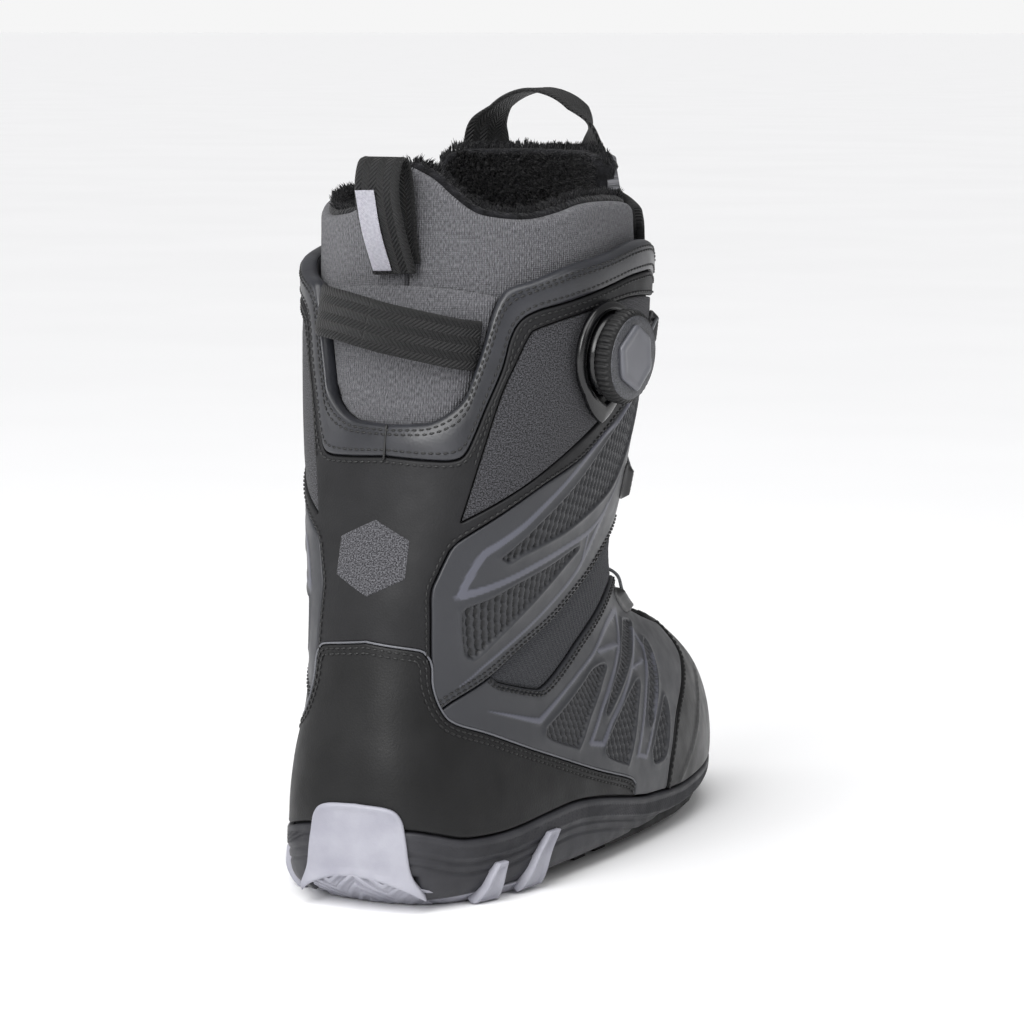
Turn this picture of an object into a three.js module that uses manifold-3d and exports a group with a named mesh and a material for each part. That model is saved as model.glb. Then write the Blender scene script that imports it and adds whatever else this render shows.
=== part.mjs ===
// Snowboard boot, right foot. Millimetres, +Y towards the toe, +X to the outer (lateral) side, +Z up.
// The origin is on the ground, under the ankle.
import * as THREE from 'three';
import { mergeVertices } from 'three/addons/utils/BufferGeometryUtils.js';
import Module from 'manifold-3d';

const wasm = await Module();
wasm.setup();

// ---------------------------------------------------------------- driving dimensions

const seamGap = 0.35;          // each panel stops this far short of its border
const gussetInset = 1.2;       // the rear gusset stops this far inside the collar's notch
const facetSag = 0.6;          // how far a panel's facet may leave the true surface
const liningSag = 0.9;
const linerSag = 2;
const longestFacet = 60;
const backSeam = 1.5;          // girth angle of the seam down the back

// Layers, measured outwards from the form's skin.
const liningLayer = [-3.8, 0];
const panelLayer = [1.1, 2.5];
const thickLayer = [1.1, 3];
const foxingLayer = [1.1, 3.2];
const insertLayer = [3.9, 5];
const lugLayer = [3.9, 6.4];
const linerLayer = [-13, -6];
const furLayer = [-17.5, -14.4];
const gussetLayer = [-3.6, -1.2];

const furDepth = 226;          // level that the fleece lining reaches down to
const furRise = 4;             // how far it stands above the liner's top

const webbingWidth = 20;
const webbingThickness = 1.8;
const laceRadius = 0.6;
const laceChannel = 1.1;

// Level sections of the form. Each loop leans from `height` at the heel to `frontHeight` at the toe.
const sectionKeys = ['height', 'back', 'front', 'frontHeight', 'outer', 'inner', 'widest', 'backPower',
  'frontPower'];
const sections = [
  [0, -68, 200, 8, 46, 48, 0.62, 3.2, 2.2],
  [10, -81, 213, 17, 51, 53, 0.62, 3.4, 2.2],
  [34, -83, 215, 40, 51.5, 54, 0.61, 3.3, 2.2],
  [55, -82, 204, 61, 48.5, 52, 0.58, 3.1, 2.2],
  [76, -78, 172, 80, 45, 48, 0.53, 2.8, 2.2],
  [97, -74, 126, 100, 43, 46, 0.47, 2.6, 2.1],
  [123, -70, 101, 128, 46.5, 49, 0.45, 2.4, 2.1],
  [154, -62, 97, 161, 54, 55, 0.45, 2.4, 2.2],
  [190, -55, 95, 198, 61, 61, 0.46, 2.4, 2.3],
  [232, -49, 97, 240, 65.5, 65.5, 0.48, 2.4, 2.3],
  [274, -45, 92, 281, 66.5, 66.5, 0.48, 2.4, 2.3],
  [320, -43, 84, 325, 67, 67, 0.48, 2.4, 2.3],
].map((row) => Object.fromEntries(row.map((value, i) => [sectionKeys[i], value])));
const toeSwing = 12;           // how far the toe bends to the inner side

// Borders of the panels as [girth, height]: girth runs 0 at the back to 180 at the front, by arc length.
const collarTop = [[1.5, 190.5], [9.5, 191], [16, 192], [22, 196], [26.5, 202], [28.5, 210], [31, 221.5],
  [33.5, 234.5], [36, 241.5], [39, 244.5], [47, 247], [60.5, 251.5], [78.5, 254], [96, 256.5], [109, 256],
  [117, 253.5], [122, 248]];
const collarBottom = [[1.5, 178.5], [17, 177.5], [24, 177.5], [27.5, 179.5], [30, 186.5], [33, 198],
  [37, 212.5], [39, 225], [42, 232], [47.5, 235.5], [56.5, 237.5], [66.5, 239.5], [79.5, 242], [95.5, 244],
  [115, 243], [127, 238]];
const textileTop = [[28.5, 153], [32.5, 175], [37.5, 201.5], [41, 213.5], [45, 225], [48.5, 228.5],
  [65, 232.5], [95, 235], [128.5, 230]];
const textileBottom = [[28.5, 153], [48, 164.5], [69, 178], [92, 191], [130, 212]];
const upperTop = [[26, 142], [29, 146], [41, 154.5], [57.5, 165], [77.5, 174], [98.5, 187.5], [130.5, 205]];
const upperBack = [[21, 79], [20, 88], [20.7, 97], [21.5, 114], [21.5, 126], [23, 132], [26, 142]];
const upperBottom = [[21, 79], [26, 82.5], [40, 89.5], [56.5, 98.5], [76, 106.5], [91, 114], [104.5, 120.5],
  [119.5, 129], [137, 136]];
const gussetBottom = [[40, 89.5], [42, 86.5], [55, 79.8], [60, 79.8], [73.5, 86.3], [93.5, 95.8],
  [117.5, 105.8], [130.5, 110], [141, 112]];
const counterTop = [[1.5, 106], [16.5, 103.5], [19.3, 101.5], [20.7, 97], [20, 88], [21, 79], [24, 73],
  [33.5, 66.5], [49, 54.5], [69, 40], [85, 30], [88.5, 26]];
const toeCapBack = [[106.5, 16], [109.5, 30.5], [116.5, 45.5], [130, 57], [146, 68], [156, 80]];
const throat = [[127, 238], [129, 225], [130, 200], [132, 175], [135, 150], [137, 136], [141, 112],
  [145, 98], [150, 88], [156, 80]];
const foxingTop = [[0, 35], [12, 33], [17, 31], [24, 27.5], [33.5, 26.5], [41, 27], [51, 28.5], [62, 29],
  [74, 26], [88, 20.5], [95.5, 18], [112, 15], [126.5, 14.5], [180, 16]];
const linerTop = [[1.5, 293.5], [10, 289], [18, 282], [26, 276], [34.5, 273.5], [47.5, 272], [60.5, 273.5],
  [71.5, 276.5], [84, 277], [100, 280], [115, 285], [128, 290]];
const linerThroat = [[134, 288], [136, 225], [138, 175], [142, 140], [147, 112], [152, 98], [158, 89],
  [163, 83]];

// ---------------------------------------------------------------- the form

const clamp = (x, low = 0, high = 1) => Math.min(high, Math.max(low, x));

// Cubic through the sections' values at a height, with finite-difference slopes.
function blendSections(key, height) {
  const last = sections.length - 1;
  const slope = (k) => {
    const a = sections[Math.max(0, k - 1)], b = sections[Math.min(last, k + 1)];
    return (b[key] - a[key]) / (b.height - a.height);
  };
  let i = sections.findIndex((s) => s.height > height) - 1;
  if (i < 0) i = height < sections[0].height ? 0 : last - 1;
  const h = sections[i + 1].height - sections[i].height;
  const t = (height - sections[i].height) / h;
  const t2 = t * t, t3 = t2 * t;
  return (2 * t3 - 3 * t2 + 1) * sections[i][key] + (t3 - 2 * t2 + t) * h * slope(i)
    + (3 * t2 - 2 * t3) * sections[i + 1][key] + (t3 - t2) * h * slope(i + 1);
}

function loopPoint(row, side, angle) {
  const c = Math.cos(angle), s = Math.sin(angle);
  const wide = row.back + (row.front - row.back) * row.widest;
  const power = 2 / (c >= 0 ? row.backPower : row.frontPower);
  const along = Math.abs(c) ** power;
  const y = c >= 0 ? wide - (wide - row.back) * along : wide + (row.front - wide) * along;
  const z = row.height + (row.frontHeight - row.height) * (y - row.back) / (row.front - row.back);
  const low = clamp((150 - z) / 60);
  const swing = toeSwing * low * clamp((y - 40) / 170) ** 1.5;
  return new THREE.Vector3(side * (side > 0 ? row.outer : row.inner) * s ** power - swing, y, z);
}

// Half a loop at a height, resampled so that the girth angle is proportional to arc length.
const loops = new Map();
function halfLoop(side, height) {
  const key = side * (height + 1000);
  if (loops.has(key)) return loops.get(key);
  const row = { height };
  for (const name of sectionKeys.slice(1)) row[name] = blendSections(name, height);
  const fine = 900, points = [], lengths = [0];
  for (let i = 0; i <= fine; i++) {
    const t = i / fine;
    points.push(loopPoint(row, side, Math.PI * (t - 0.98 * Math.sin(4 * Math.PI * t) / (4 * Math.PI))));
    if (i) lengths.push(lengths[i - 1] + points[i].distanceTo(points[i - 1]));
  }
  const loop = [];
  for (let g = 0, i = 0; g <= 180; g++) {
    const target = g / 180 * lengths[fine];
    while (i < fine - 1 && lengths[i + 1] < target) i++;
    loop.push(points[i].clone().lerp(points[i + 1], (target - lengths[i]) / (lengths[i + 1] - lengths[i])));
  }
  loops.set(key, loop);
  return loop;
}

// A point of the bare form: girth in degrees from the back, positive to the outer side.
function form(girth, height) {
  const g = ((girth + 180) % 360 + 360) % 360 - 180;
  const side = g < 0 ? -1 : 1, a = Math.abs(g);
  const i = Math.floor(height), j = Math.min(179, Math.floor(a));
  const low = halfLoop(side, i), high = halfLoop(side, i + 1);
  const below = low[j].clone().lerp(low[j + 1], a - j);
  return below.lerp(high[j].clone().lerp(high[j + 1], a - j), height - i);
}

function formNormal(girth, height) {
  const round = form(girth + 1.5, height).sub(form(girth - 1.5, height));
  const up = form(girth, height + 1.5).sub(form(girth, height - 1.5));
  return round.cross(up).normalize();
}

const skin = (girth, height, offset) => (
  form(girth, height).addScaledVector(formNormal(girth, height), offset));

// ---------------------------------------------------------------- outlines

const mirrorGirth = (points) => points.map(([g, v]) => [2 * backSeam - g, v]).reverse();
const beyondToe = (points) => points.map(([g, v]) => [360 + 2 * backSeam - g, v]).reverse();
const reversed = (points) => [...points].reverse();

function levelAt(points, g) {
  const i = clamp(points.findIndex((p) => p[0] >= g), 1, points.length - 1);
  const [a, b] = [points[i - 1], points[i]];
  return a[1] + (b[1] - a[1]) * clamp((g - a[0]) / (b[0] - a[0]));
}

function signedArea(outline) {
  return outline.reduce((sum, [x, y], i) => {
    const [u, v] = outline[(i + 1) % outline.length];
    return sum + (x * v - u * y) / 2;
  }, 0);
}

// Joins border pieces into one anticlockwise ring without repeated points.
function ring(...pieces) {
  const all = pieces.flat();
  const kept = all.filter((p, i) => {
    const q = all[(i + 1) % all.length];
    return Math.hypot(p[0] - q[0], p[1] - q[1]) > 0.4;
  });
  return signedArea(kept) < 0 ? kept.reverse() : kept;
}

// Moves every side of a ring inwards by a distance on the surface, in millimetres.
function inset(outline, distance, place = skin) {
  return outline.map((p, i) => {
    const before = outline[(i + outline.length - 1) % outline.length];
    const after = outline[(i + 1) % outline.length];
    const acrossScale = place(p[0] + 0.5, p[1], 0).distanceTo(place(p[0] - 0.5, p[1], 0));
    const upScale = place(p[0], p[1] + 0.5, 0).distanceTo(place(p[0], p[1] - 0.5, 0));
    const side = (a, b) => (
      new THREE.Vector2(-(b[1] - a[1]) * upScale, (b[0] - a[0]) * acrossScale).normalize());
    const n1 = side(before, p), n2 = side(p, after);
    const mitre = n1.clone().add(n2).multiplyScalar(distance / Math.max(0.35, 1 + n1.dot(n2)));
    return [p[0] + mitre.x / acrossScale, p[1] + mitre.y / upScale];
  });
}

// ---------------------------------------------------------------- solids from outlines

// Swaps shared sides while that makes the two triangles beside them rounder.
function relax(points, faces, at) {
  const angle = (a, b, c) => at(b).clone().sub(at(a)).angleTo(at(c).clone().sub(at(a)));
  const area = (a, b, c) => signedArea([points[a], points[b], points[c]]);
  for (let sweep = 0; sweep < 25; sweep++) {
    const owner = new Map(), used = new Set();
    faces.forEach((f, i) => f.forEach((p, k) => owner.set(`${p}_${f[(k + 1) % 3]}`, i)));
    for (let i = 0; i < faces.length; i++) {
      for (let k = 0; k < 3; k++) {
        const a = faces[i][k], b = faces[i][(k + 1) % 3], c = faces[i][(k + 2) % 3];
        const j = owner.get(`${b}_${a}`);
        if (j === undefined || used.has(i) || used.has(j)) continue;
        const d = faces[j].find((p) => p !== a && p !== b);
        if (angle(c, a, b) + angle(d, a, b) < Math.PI + 0.02) continue;
        if (area(c, a, d) < 0.05 || area(c, d, b) < 0.05) continue;
        faces[i] = [c, a, d];
        faces[j] = [c, d, b];
        used.add(i).add(j);
      }
    }
    if (!used.size) return;
  }
}

// Halves the sides that leave the surface too far, and divides the triangles to match.
function divide(points, faces, at, addPoint) {
  const middles = new Map();
  const key = (a, b) => (a < b ? `${a}_${b}` : `${b}_${a}`);
  const middle = (a, b) => middles.get(key(a, b));
  for (const f of faces) {
    for (let k = 0; k < 3; k++) {
      const a = f[k], b = f[(k + 1) % 3];
      if (middles.has(key(a, b))) continue;
      const half = [(points[a][0] + points[b][0]) / 2, (points[a][1] + points[b][1]) / 2];
      middles.set(key(a, b), addPoint(half, a, b));
    }
  }
  return faces.flatMap(([a, b, c]) => {
    const ab = middle(a, b), bc = middle(b, c), ca = middle(c, a);
    if (ab && bc && ca) return [[a, ab, ca], [ab, b, bc], [ca, bc, c], [ab, bc, ca]];
    for (const [p, q, r, pq, qr] of [[a, b, c, ab, bc], [b, c, a, bc, ca], [c, a, b, ca, ab]]) {
      if (pq && qr) return [[p, pq, r], [pq, qr, r], [pq, q, qr]];
    }
    for (const [p, q, r, pq] of [[a, b, c, ab], [b, c, a, bc], [c, a, b, ca]]) {
      if (pq) return [[p, pq, r], [pq, q, r]];
    }
    return [[a, b, c]];
  });
}

// A closed sheet of even thickness: the outline carried onto two offsets of a surface and walled round.
function sheet(outline, [low, high], sagLimit = facetSag, place = skin, longest = longestFacet) {
  const points = outline.map((p) => [...p]);
  const top = points.map((p) => place(p[0], p[1], high));
  let faces = THREE.ShapeUtils.triangulateShape(points.map((p) => new THREE.Vector2(...p)), []);
  faces = faces.map((f) => (signedArea(f.map((i) => points[i])) < 0 ? [f[0], f[2], f[1]] : f));
  const at = (i) => top[i];
  const addPoint = (half, a, b) => {
    const true3 = place(half[0], half[1], high);
    const sag = true3.distanceTo(top[a].clone().lerp(top[b], 0.5));
    if (sag < sagLimit && top[a].distanceTo(top[b]) < longest) return 0;
    points.push(half);
    top.push(true3);
    return points.length - 1;
  };
  relax(points, faces, at);
  for (let pass = 0; pass < 7; pass++) {
    const count = points.length;
    faces = divide(points, faces, at, addPoint);
    relax(points, faces, at);
    if (points.length === count) break;
  }
  const bottom = points.map((p) => place(p[0], p[1], low));
  return closeSheet(top, bottom, faces);
}

function closeSheet(top, bottom, faces) {
  const count = top.length;
  const index = faces.flatMap(([a, b, c]) => [a, b, c, a + count, c + count, b + count]);
  const sides = new Set(faces.flatMap(([a, b, c]) => [`${a}_${b}`, `${b}_${c}`, `${c}_${a}`]));
  for (const side of sides) {
    const [a, b] = side.split('_').map(Number);
    if (!sides.has(`${b}_${a}`)) index.push(b, a, a + count, b, a + count, b + count);
  }
  return indexed([...top, ...bottom], index);
}

function indexed(points, index) {
  const geometry = new THREE.BufferGeometry().setFromPoints(points);
  geometry.setIndex(index);
  return geometry;
}

// Girths all the way round: the given ones on both sides, with more between where they are far apart.
function ringStops(knots, step) {
  const side = [];
  knots.forEach((g, i) => {
    const from = i ? knots[i - 1] : backSeam, count = Math.ceil((g - from) / step);
    for (let k = 1; k <= count; k++) side.push(from + (g - from) * k / count);
  });
  return [backSeam, ...side, ...reversed(side).map((g) => 360 + 2 * backSeam - g)];
}

// A full ring round the form between two heights that may vary with girth.
function band(lowAt, highAt, [low, high], girths, rows) {
  const section = girths.map((g) => {
    const heights = Array.from({ length: rows + 1 }, (_, k) => lowAt(g) + (highAt(g) - lowAt(g)) * k / rows);
    const outside = heights.map((v) => skin(g, v, high));
    const inside = heights.map((v) => skin(g, v, low)).reverse();
    return [...outside, ...inside];
  });
  const size = section[0].length, index = [];
  section.forEach((_, i) => {
    const next = (i + 1) % section.length;
    for (let k = 0; k < size; k++) {
      const a = i * size + k, b = i * size + (k + 1) % size;
      const c = next * size + k, d = next * size + (k + 1) % size;
      index.push(a, c, b, b, c, d);
    }
  });
  return indexed(section.flat(), index);
}

// A flat strap along a curve: `across` gives the direction of its width at each fraction of the length.
function strap(curve, across, width, thickness, steps) {
  const corners = [], index = [];
  for (let i = 0; i <= steps; i++) {
    const t = i / steps, centre = curve.getPoint(t), along = curve.getTangent(t);
    const side = across(t).addScaledVector(along, -across(t).dot(along)).normalize();
    const face = along.clone().cross(side);
    for (const [u, w] of [[-1, -1], [1, -1], [1, 1], [-1, 1]]) {
      const edge = centre.clone().addScaledVector(side, u * width / 2);
      corners.push(edge.addScaledVector(face, w * thickness / 2));
    }
    if (i === 0) continue;
    for (let k = 0; k < 4; k++) {
      const a = (i - 1) * 4 + k, b = (i - 1) * 4 + (k + 1) % 4;
      index.push(a, b, a + 4, b, b + 4, a + 4);
    }
  }
  const end = steps * 4;
  index.push(0, 2, 1, 0, 3, 2, end, end + 1, end + 2, end, end + 2, end + 3);
  return indexed(corners, index);
}

function cord(curve, radius, steps) {
  const section = new THREE.Shape().absarc(0, 0, radius, 0, 2 * Math.PI);
  const along = { extrudePath: curve, steps, curveSegments: 4, bevelEnabled: false };
  return new THREE.ExtrudeGeometry(section, along);
}

function plate(shape, depth, z = 0, segments = 12) {
  const solid = new THREE.ExtrudeGeometry(shape, { depth, bevelEnabled: false, curveSegments: segments });
  return solid.translate(0, 0, z);
}

function turned(profile, segments = 28) {
  const points = [...profile, profile[0]].map(([r, z]) => new THREE.Vector2(r, z));
  return new THREE.LatheGeometry(points, segments).rotateX(Math.PI / 2);
}

// ---------------------------------------------------------------- joining and cutting

function solidOf(geometry) {
  const bare = geometry.clone();
  bare.deleteAttribute('normal');
  bare.deleteAttribute('uv');
  const merged = mergeVertices(bare, 1e-4);
  const triVerts = new Uint32Array(merged.index.array);
  return new wasm.Manifold(new wasm.Mesh({
    numProp: 3, vertProperties: new Float32Array(merged.attributes.position.array), triVerts,
  }));
}

function geometryOf(solid) {
  const mesh = solid.getMesh();
  const geometry = new THREE.BufferGeometry();
  geometry.setAttribute('position', new THREE.BufferAttribute(new Float32Array(mesh.vertProperties), 3));
  geometry.setIndex(new THREE.BufferAttribute(new Uint32Array(mesh.triVerts), 1));
  return geometry;
}

const joined = (...parts) => geometryOf(parts.map(solidOf).reduce((a, b) => a.add(b)));
const cut = (part, ...tools) => geometryOf(tools.map(solidOf).reduce((a, b) => a.subtract(b), solidOf(part)));

// ---------------------------------------------------------------- the boot

const boot = new THREE.Group();

const finishes = {
  blackSynthetic: [0x1c1c1e, 0.75, 0], satinGrey: [0x4a4b50, 0.45, 0], collarGrey: [0x34353a, 0.35, 0],
  textile: [0x3c3d40, 0.9, 0], rubberBlack: [0x1a1a1b, 0.8, 0], rubberGrey: [0x3a3a3d, 0.8, 0],
  rubberLight: [0x9d9ca8, 0.6, 0], foam: [0x2b2b2e, 0.95, 0], knit: [0x5a5a5e, 0.95, 0],
  fleece: [0x101011, 1, 0], webbing: [0x17171a, 0.85, 0], nylon: [0x202124, 0.35, 0],
  metal: [0x8c8f94, 0.35, 1], label: [0xb4b3c8, 0.7, 0], board: [0x8a7d68, 0.9, 0],
};
const materials = Object.fromEntries(Object.entries(finishes).map(([name, [color, roughness, metalness]]) => (
  [name, new THREE.MeshStandardMaterial({ color, roughness, metalness })])));

function add(name, geometry, finish, parent = boot) {
  const mesh = new THREE.Mesh(geometry, materials[finish]);
  mesh.name = name;
  parent.add(mesh);
  return mesh;
}

// ---- sole: everything between the ground and the foot

const soleLine = (y) => 10 + 7 * (y + 81) / 294;                  // height of the form's lowest full section
const toeSpring = (y) => 8 * clamp((y - 125) / 90) ** 1.8;        // how far the tread lifts off the ground
const waistLift = (y) => 3 * Math.exp(-(((y - 22) / 24) ** 2));   // hollow under the arch

// A plan outline that follows the form at a height, moved in or out.
function planOutline(height, offset, from = 0, to = 360, step = 12) {
  const points = [];
  for (let g = from; g <= to - (to - from >= 360 ? step : 0) + 1e-6; g += step) {
    const p = skin(g, height, offset);
    points.push([p.x, p.y]);
  }
  return points;
}

// A sheet between two levels that vary along the foot; offset 0 is the lower level and 1 the upper.
function slab(outline, lowAt, highAt, longest = 500) {
  const place = (x, y, o) => new THREE.Vector3(x, y, o ? highAt(y) : lowAt(y));
  return sheet(ring(outline), [0, 1], facetSag, place, longest);
}

function outsole() {
  const plateLow = (y) => 4.2 + toeSpring(y) + waistLift(y);
  const plateHigh = (y) => soleLine(y) - 3.4;
  const outline = planOutline(9, -1.5).filter(([, y]) => y > -42);
  const base = slab(outline, plateLow, plateHigh, 40);
  const lugs = [];
  const lug = (x, y, width, length) => {
    const block = new THREE.BoxGeometry(width, length, 7.6).translate(x, y, 3.8 + toeSpring(y));
    lugs.push(block);
  };
  lug(0, 0, 26, 16);
  for (const y of [-26, 24, 44, 64, 84, 104, 124, 144, 164, 184]) {
    const swing = toeSwing * clamp((y - 40) / 170) ** 1.5;
    const half = y > 170 ? 15 : 20;
    for (const x of [-half, half]) lug(x - swing, y, half * 1.25, 12);
    if (y > 40 && y < 160) for (const side of [-1, 1]) lug(side * (half + 16.5) - swing, y - 6, 7, 10);
  }
  return joined(base, ...lugs);
}

function heelTread() {
  const outline = planOutline(6, 0.4).filter(([, y]) => y < -44.5);
  return slab(outline, () => 0, () => 6.4);
}

function soleParts() {
  add('outsole', outsole(), 'rubberBlack');
  add('heel_tread', heelTread(), 'rubberLight');
  const patchSide = [[18, 9], [15.5, 17.5], [13.5, 29], [12.5, 38], [9.5, 42], [1.5, 43]];
  add('heel_insert', sheet(ring(patchSide, mirrorGirth(patchSide)), insertLayer), 'rubberLight');
  const topAt = (g) => levelAt(foxingTop, g > 180 ? 360 + 2 * backSeam - g : g) - seamGap;
  const girths = ringStops(foxingTop.map(([g]) => g), 7.5);
  add('foxing', band(() => 8, topAt, foxingLayer, girths, 2), 'rubberGrey');
  add('midsole', slab(planOutline(7.5, -0.3), (y) => soleLine(y) - 2.9, (y) => soleLine(y) + 3.6), 'foam');
  add('shank', slab([[-14, -50], [14, -50], [11, 70], [-15, 70]], (y) => soleLine(y) + 4,
    (y) => soleLine(y) + 5.6), 'nylon');
  add('lasting_board', slab(planOutline(17, -4.5), (y) => soleLine(y) + 6, (y) => soleLine(y) + 8), 'board');
  add('liner_sole', slab(planOutline(21, -5.5), (y) => soleLine(y) + 8.6, (y) => soleLine(y) + 12), 'knit');
  add('footbed', slab(planOutline(26, -14.8), (y) => soleLine(y) + 12.6, (y) => soleLine(y) + 16.5), 'foam');
  const lugs = {
    rear: [[24.5, 4.6], [32, 4.6], [33.5, 14], [29.5, 14.5]],
    front: [[38.5, 4.6], [47, 4.6], [52, 20], [48, 20.5]],
  };
  for (const [name, outline] of Object.entries(lugs)) {
    add(`side_lug_lateral_${name}`, sheet(ring(outline), lugLayer), 'rubberLight');
    add(`side_lug_medial_${name}`, sheet(ring(mirrorGirth(outline)), lugLayer), 'rubberLight');
  }
}

// ---- shell: lining walls and the outer panels stitched over them

function shellParts() {
  const half = ring([[backSeam, 18]], [[60, 18], [120, 18], [180, 18]], [[180, 79]], reversed(throat),
    reversed(collarTop));
  add('lining_lateral', sheet(inset(half, seamGap), liningLayer, liningSag), 'foam');
  const far = ring([[backSeam, 18]], [[-60, 18], [-120, 18], [-180, 18]], [[-180, 79]],
    mirrorGirth(throat), mirrorGirth(collarTop));
  add('lining_medial', sheet(inset(far, seamGap), liningLayer, liningSag), 'foam');

  const notch = collarTop.slice(0, 9);
  const notchTop = [[33, 243], [18, 246], [1.5, 247]];
  const gusset = ring(notch, notchTop, mirrorGirth(notchTop), mirrorGirth(notch));
  add('rear_gusset', sheet(inset(gusset, gussetInset), gussetLayer), 'knit');

  const collarHalf = [...collarTop, ...reversed(collarBottom)];
  const collar = ring(collarHalf, mirrorGirth(collarHalf));
  add('collar_band', sheet(inset(collar, seamGap), thickLayer), 'collarGrey');

  const arm = [...counterTop.slice(0, 4), ...upperBack.slice(3), ...upperTop.slice(1),
    ...reversed(textileBottom), ...textileTop.slice(1), ...reversed(collarBottom)];
  const backstay = ring(arm, mirrorGirth(arm));
  add('backstay', sheet(inset(backstay, seamGap), panelLayer), 'blackSynthetic');

  const foxingEdge = foxingTop.filter(([g]) => g <= 88);
  const counterHalf = [[backSeam, 35], ...foxingEdge.slice(1), ...reversed(counterTop)];
  const counter = ring(counterHalf, mirrorGirth(counterHalf));
  add('heel_counter', sheet(inset(counter, seamGap), thickLayer), 'blackSynthetic');

  const toeFoot = foxingTop.filter(([g]) => g > 106);
  const toeBottom = [...toeFoot, ...beyondToe(toeFoot)];
  const toe = ring(toeCapBack, [[180, 81]], beyondToe(toeCapBack), reversed(toeBottom));
  add('toe_cap', sheet(inset(toe, seamGap), thickLayer), 'blackSynthetic');

  const regions = {
    side_textile: [textileTop, reversed(textileBottom), 'textile'],
    upper_panel: [upperTop, throat.slice(3, 6), reversed(upperBottom), upperBack, 'satinGrey'],
    flex_gusset: [upperBottom.slice(2), reversed(gussetBottom), 'textile'],
    lower_panel: [upperBottom.slice(0, 3), gussetBottom.slice(1), throat.slice(7), reversed(toeCapBack),
      [[95.5, 18], [88, 20.5]], reversed(counterTop).slice(0, 7), 'satinGrey'],
  };
  for (const [name, parts] of Object.entries(regions)) {
    const finish = parts.pop();
    const outline = ring(...parts);
    const opposite = ring(mirrorGirth(outline));
    add(`${name}_lateral`, sheet(inset(outline, seamGap), panelLayer), finish);
    add(`${name}_medial`, sheet(inset(opposite, seamGap), panelLayer), finish);
  }
}

// ---- tongue and liner

function linerParts() {
  const half = ring([[backSeam, 26], [60, 26], [120, 26], [180, 26], [180, 82]], reversed(linerThroat),
    reversed(linerTop));
  const far = ring([[backSeam, 26], [-60, 26], [-120, 26], [-180, 26], [-180, 82]], mirrorGirth(linerThroat),
    mirrorGirth(linerTop));
  add('liner_lateral', sheet(inset(half, seamGap), linerLayer, linerSag), 'knit');
  add('liner_medial', sheet(inset(far, seamGap), linerLayer, linerSag), 'knit');
  const topAt = (g) => levelAt(linerTop, Math.abs(g)) + furRise;
  const girths = [];
  for (let g = -126; g <= 129; g += 8.5) girths.push([g, topAt(g)]);
  const depths = girths.map(([g]) => [g, furDepth]);
  add('fur_lining', sheet(ring(girths, reversed(depths)), furLayer, linerSag), 'fleece');
}

// The tongues close the throat from inside; both turn about the shell tongue's lower edge.
function tongueParts() {
  const gapEdge = throat.map(([g, v]) => [g + 1.2, v]);
  const shellTop = [[126.5, 262], [131, 268], [150, 274], [180, 276]];
  const shellHalf = [[180, 82.5], [158, 82.5], ...reversed(gapEdge).slice(1), ...shellTop];
  const shellTongue = ring(shellHalf, beyondToe(shellHalf));
  add('shell_tongue', sheet(inset(shellTongue, seamGap), liningLayer, linerSag), 'blackSynthetic');
  const linerEdge = linerThroat.map(([g, v]) => [g + 1, v]);
  const linerHalf = [[180, 93], [159, 93], ...reversed(linerEdge).slice(2), [150, 291], [180, 291]];
  const linerTongue = ring(linerHalf, beyondToe(linerHalf));
  add('liner_tongue', sheet(inset(linerTongue, seamGap), linerLayer, linerSag), 'knit');
  const furEdge = [[180, furDepth], [140, furDepth], [136, 290], [150, 293.5], [180, 294]];
  add('tongue_fur', sheet(ring(furEdge, beyondToe(furEdge)), furLayer, linerSag), 'fleece');
}

// ---- lace and its guides

const laceRows = [222, 190, 158, 128, 104];       // heights of the guides down the throat
const laceSteps = 64;
const guideLength = 9;                            // how far the lace runs through a guide
const guideSize = [7, 17, 4.6];
const guideLift = 6.1;
const guideInset = 5;                             // degrees from the throat's edge back to a guide

function guidePlace(row, side) {
  const g = levelGirth(throat, row) - guideInset;
  return side > 0 ? g : 2 * backSeam - g;
}

function levelGirth(points, v) {
  const i = clamp(points.findIndex((p) => p[1] <= v), 1, points.length - 1);
  const [a, b] = [points[i - 1], points[i]];
  return a[0] + (b[0] - a[0]) * clamp((v - a[1]) / (b[1] - a[1]));
}

// One lace: out of the dial, then from side to side down the throat, under each guide.
function laceCurve() {
  const atGuide = 5.4, nearTongue = 4, onTongue = 2.6;     // offsets of the lace from the skin
  const path = [skin(97, 212, 4.6), skin(106, 216, atGuide)];
  laceRows.forEach((row, i) => {
    const side = i % 2 ? -1 : 1;
    const end = row - guideLength, from = guidePlace(end, side);
    path.push(skin(guidePlace(row, side), row, atGuide), skin(from, end, atGuide));
    if (i === laceRows.length - 1) return;
    const to = guidePlace(laceRows[i + 1], -side);
    const start = side > 0 ? from : from + 360, stop = side > 0 ? to + 360 : to;
    for (const t of [0.25, 0.5, 0.75]) {
      const v = end + (laceRows[i + 1] - end) * t;
      path.push(skin(start + (stop - start) * t, v, t === 0.5 ? onTongue : nearTongue));
    }
  });
  return new THREE.CatmullRomCurve3(path, false, 'centripetal');
}

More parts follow.
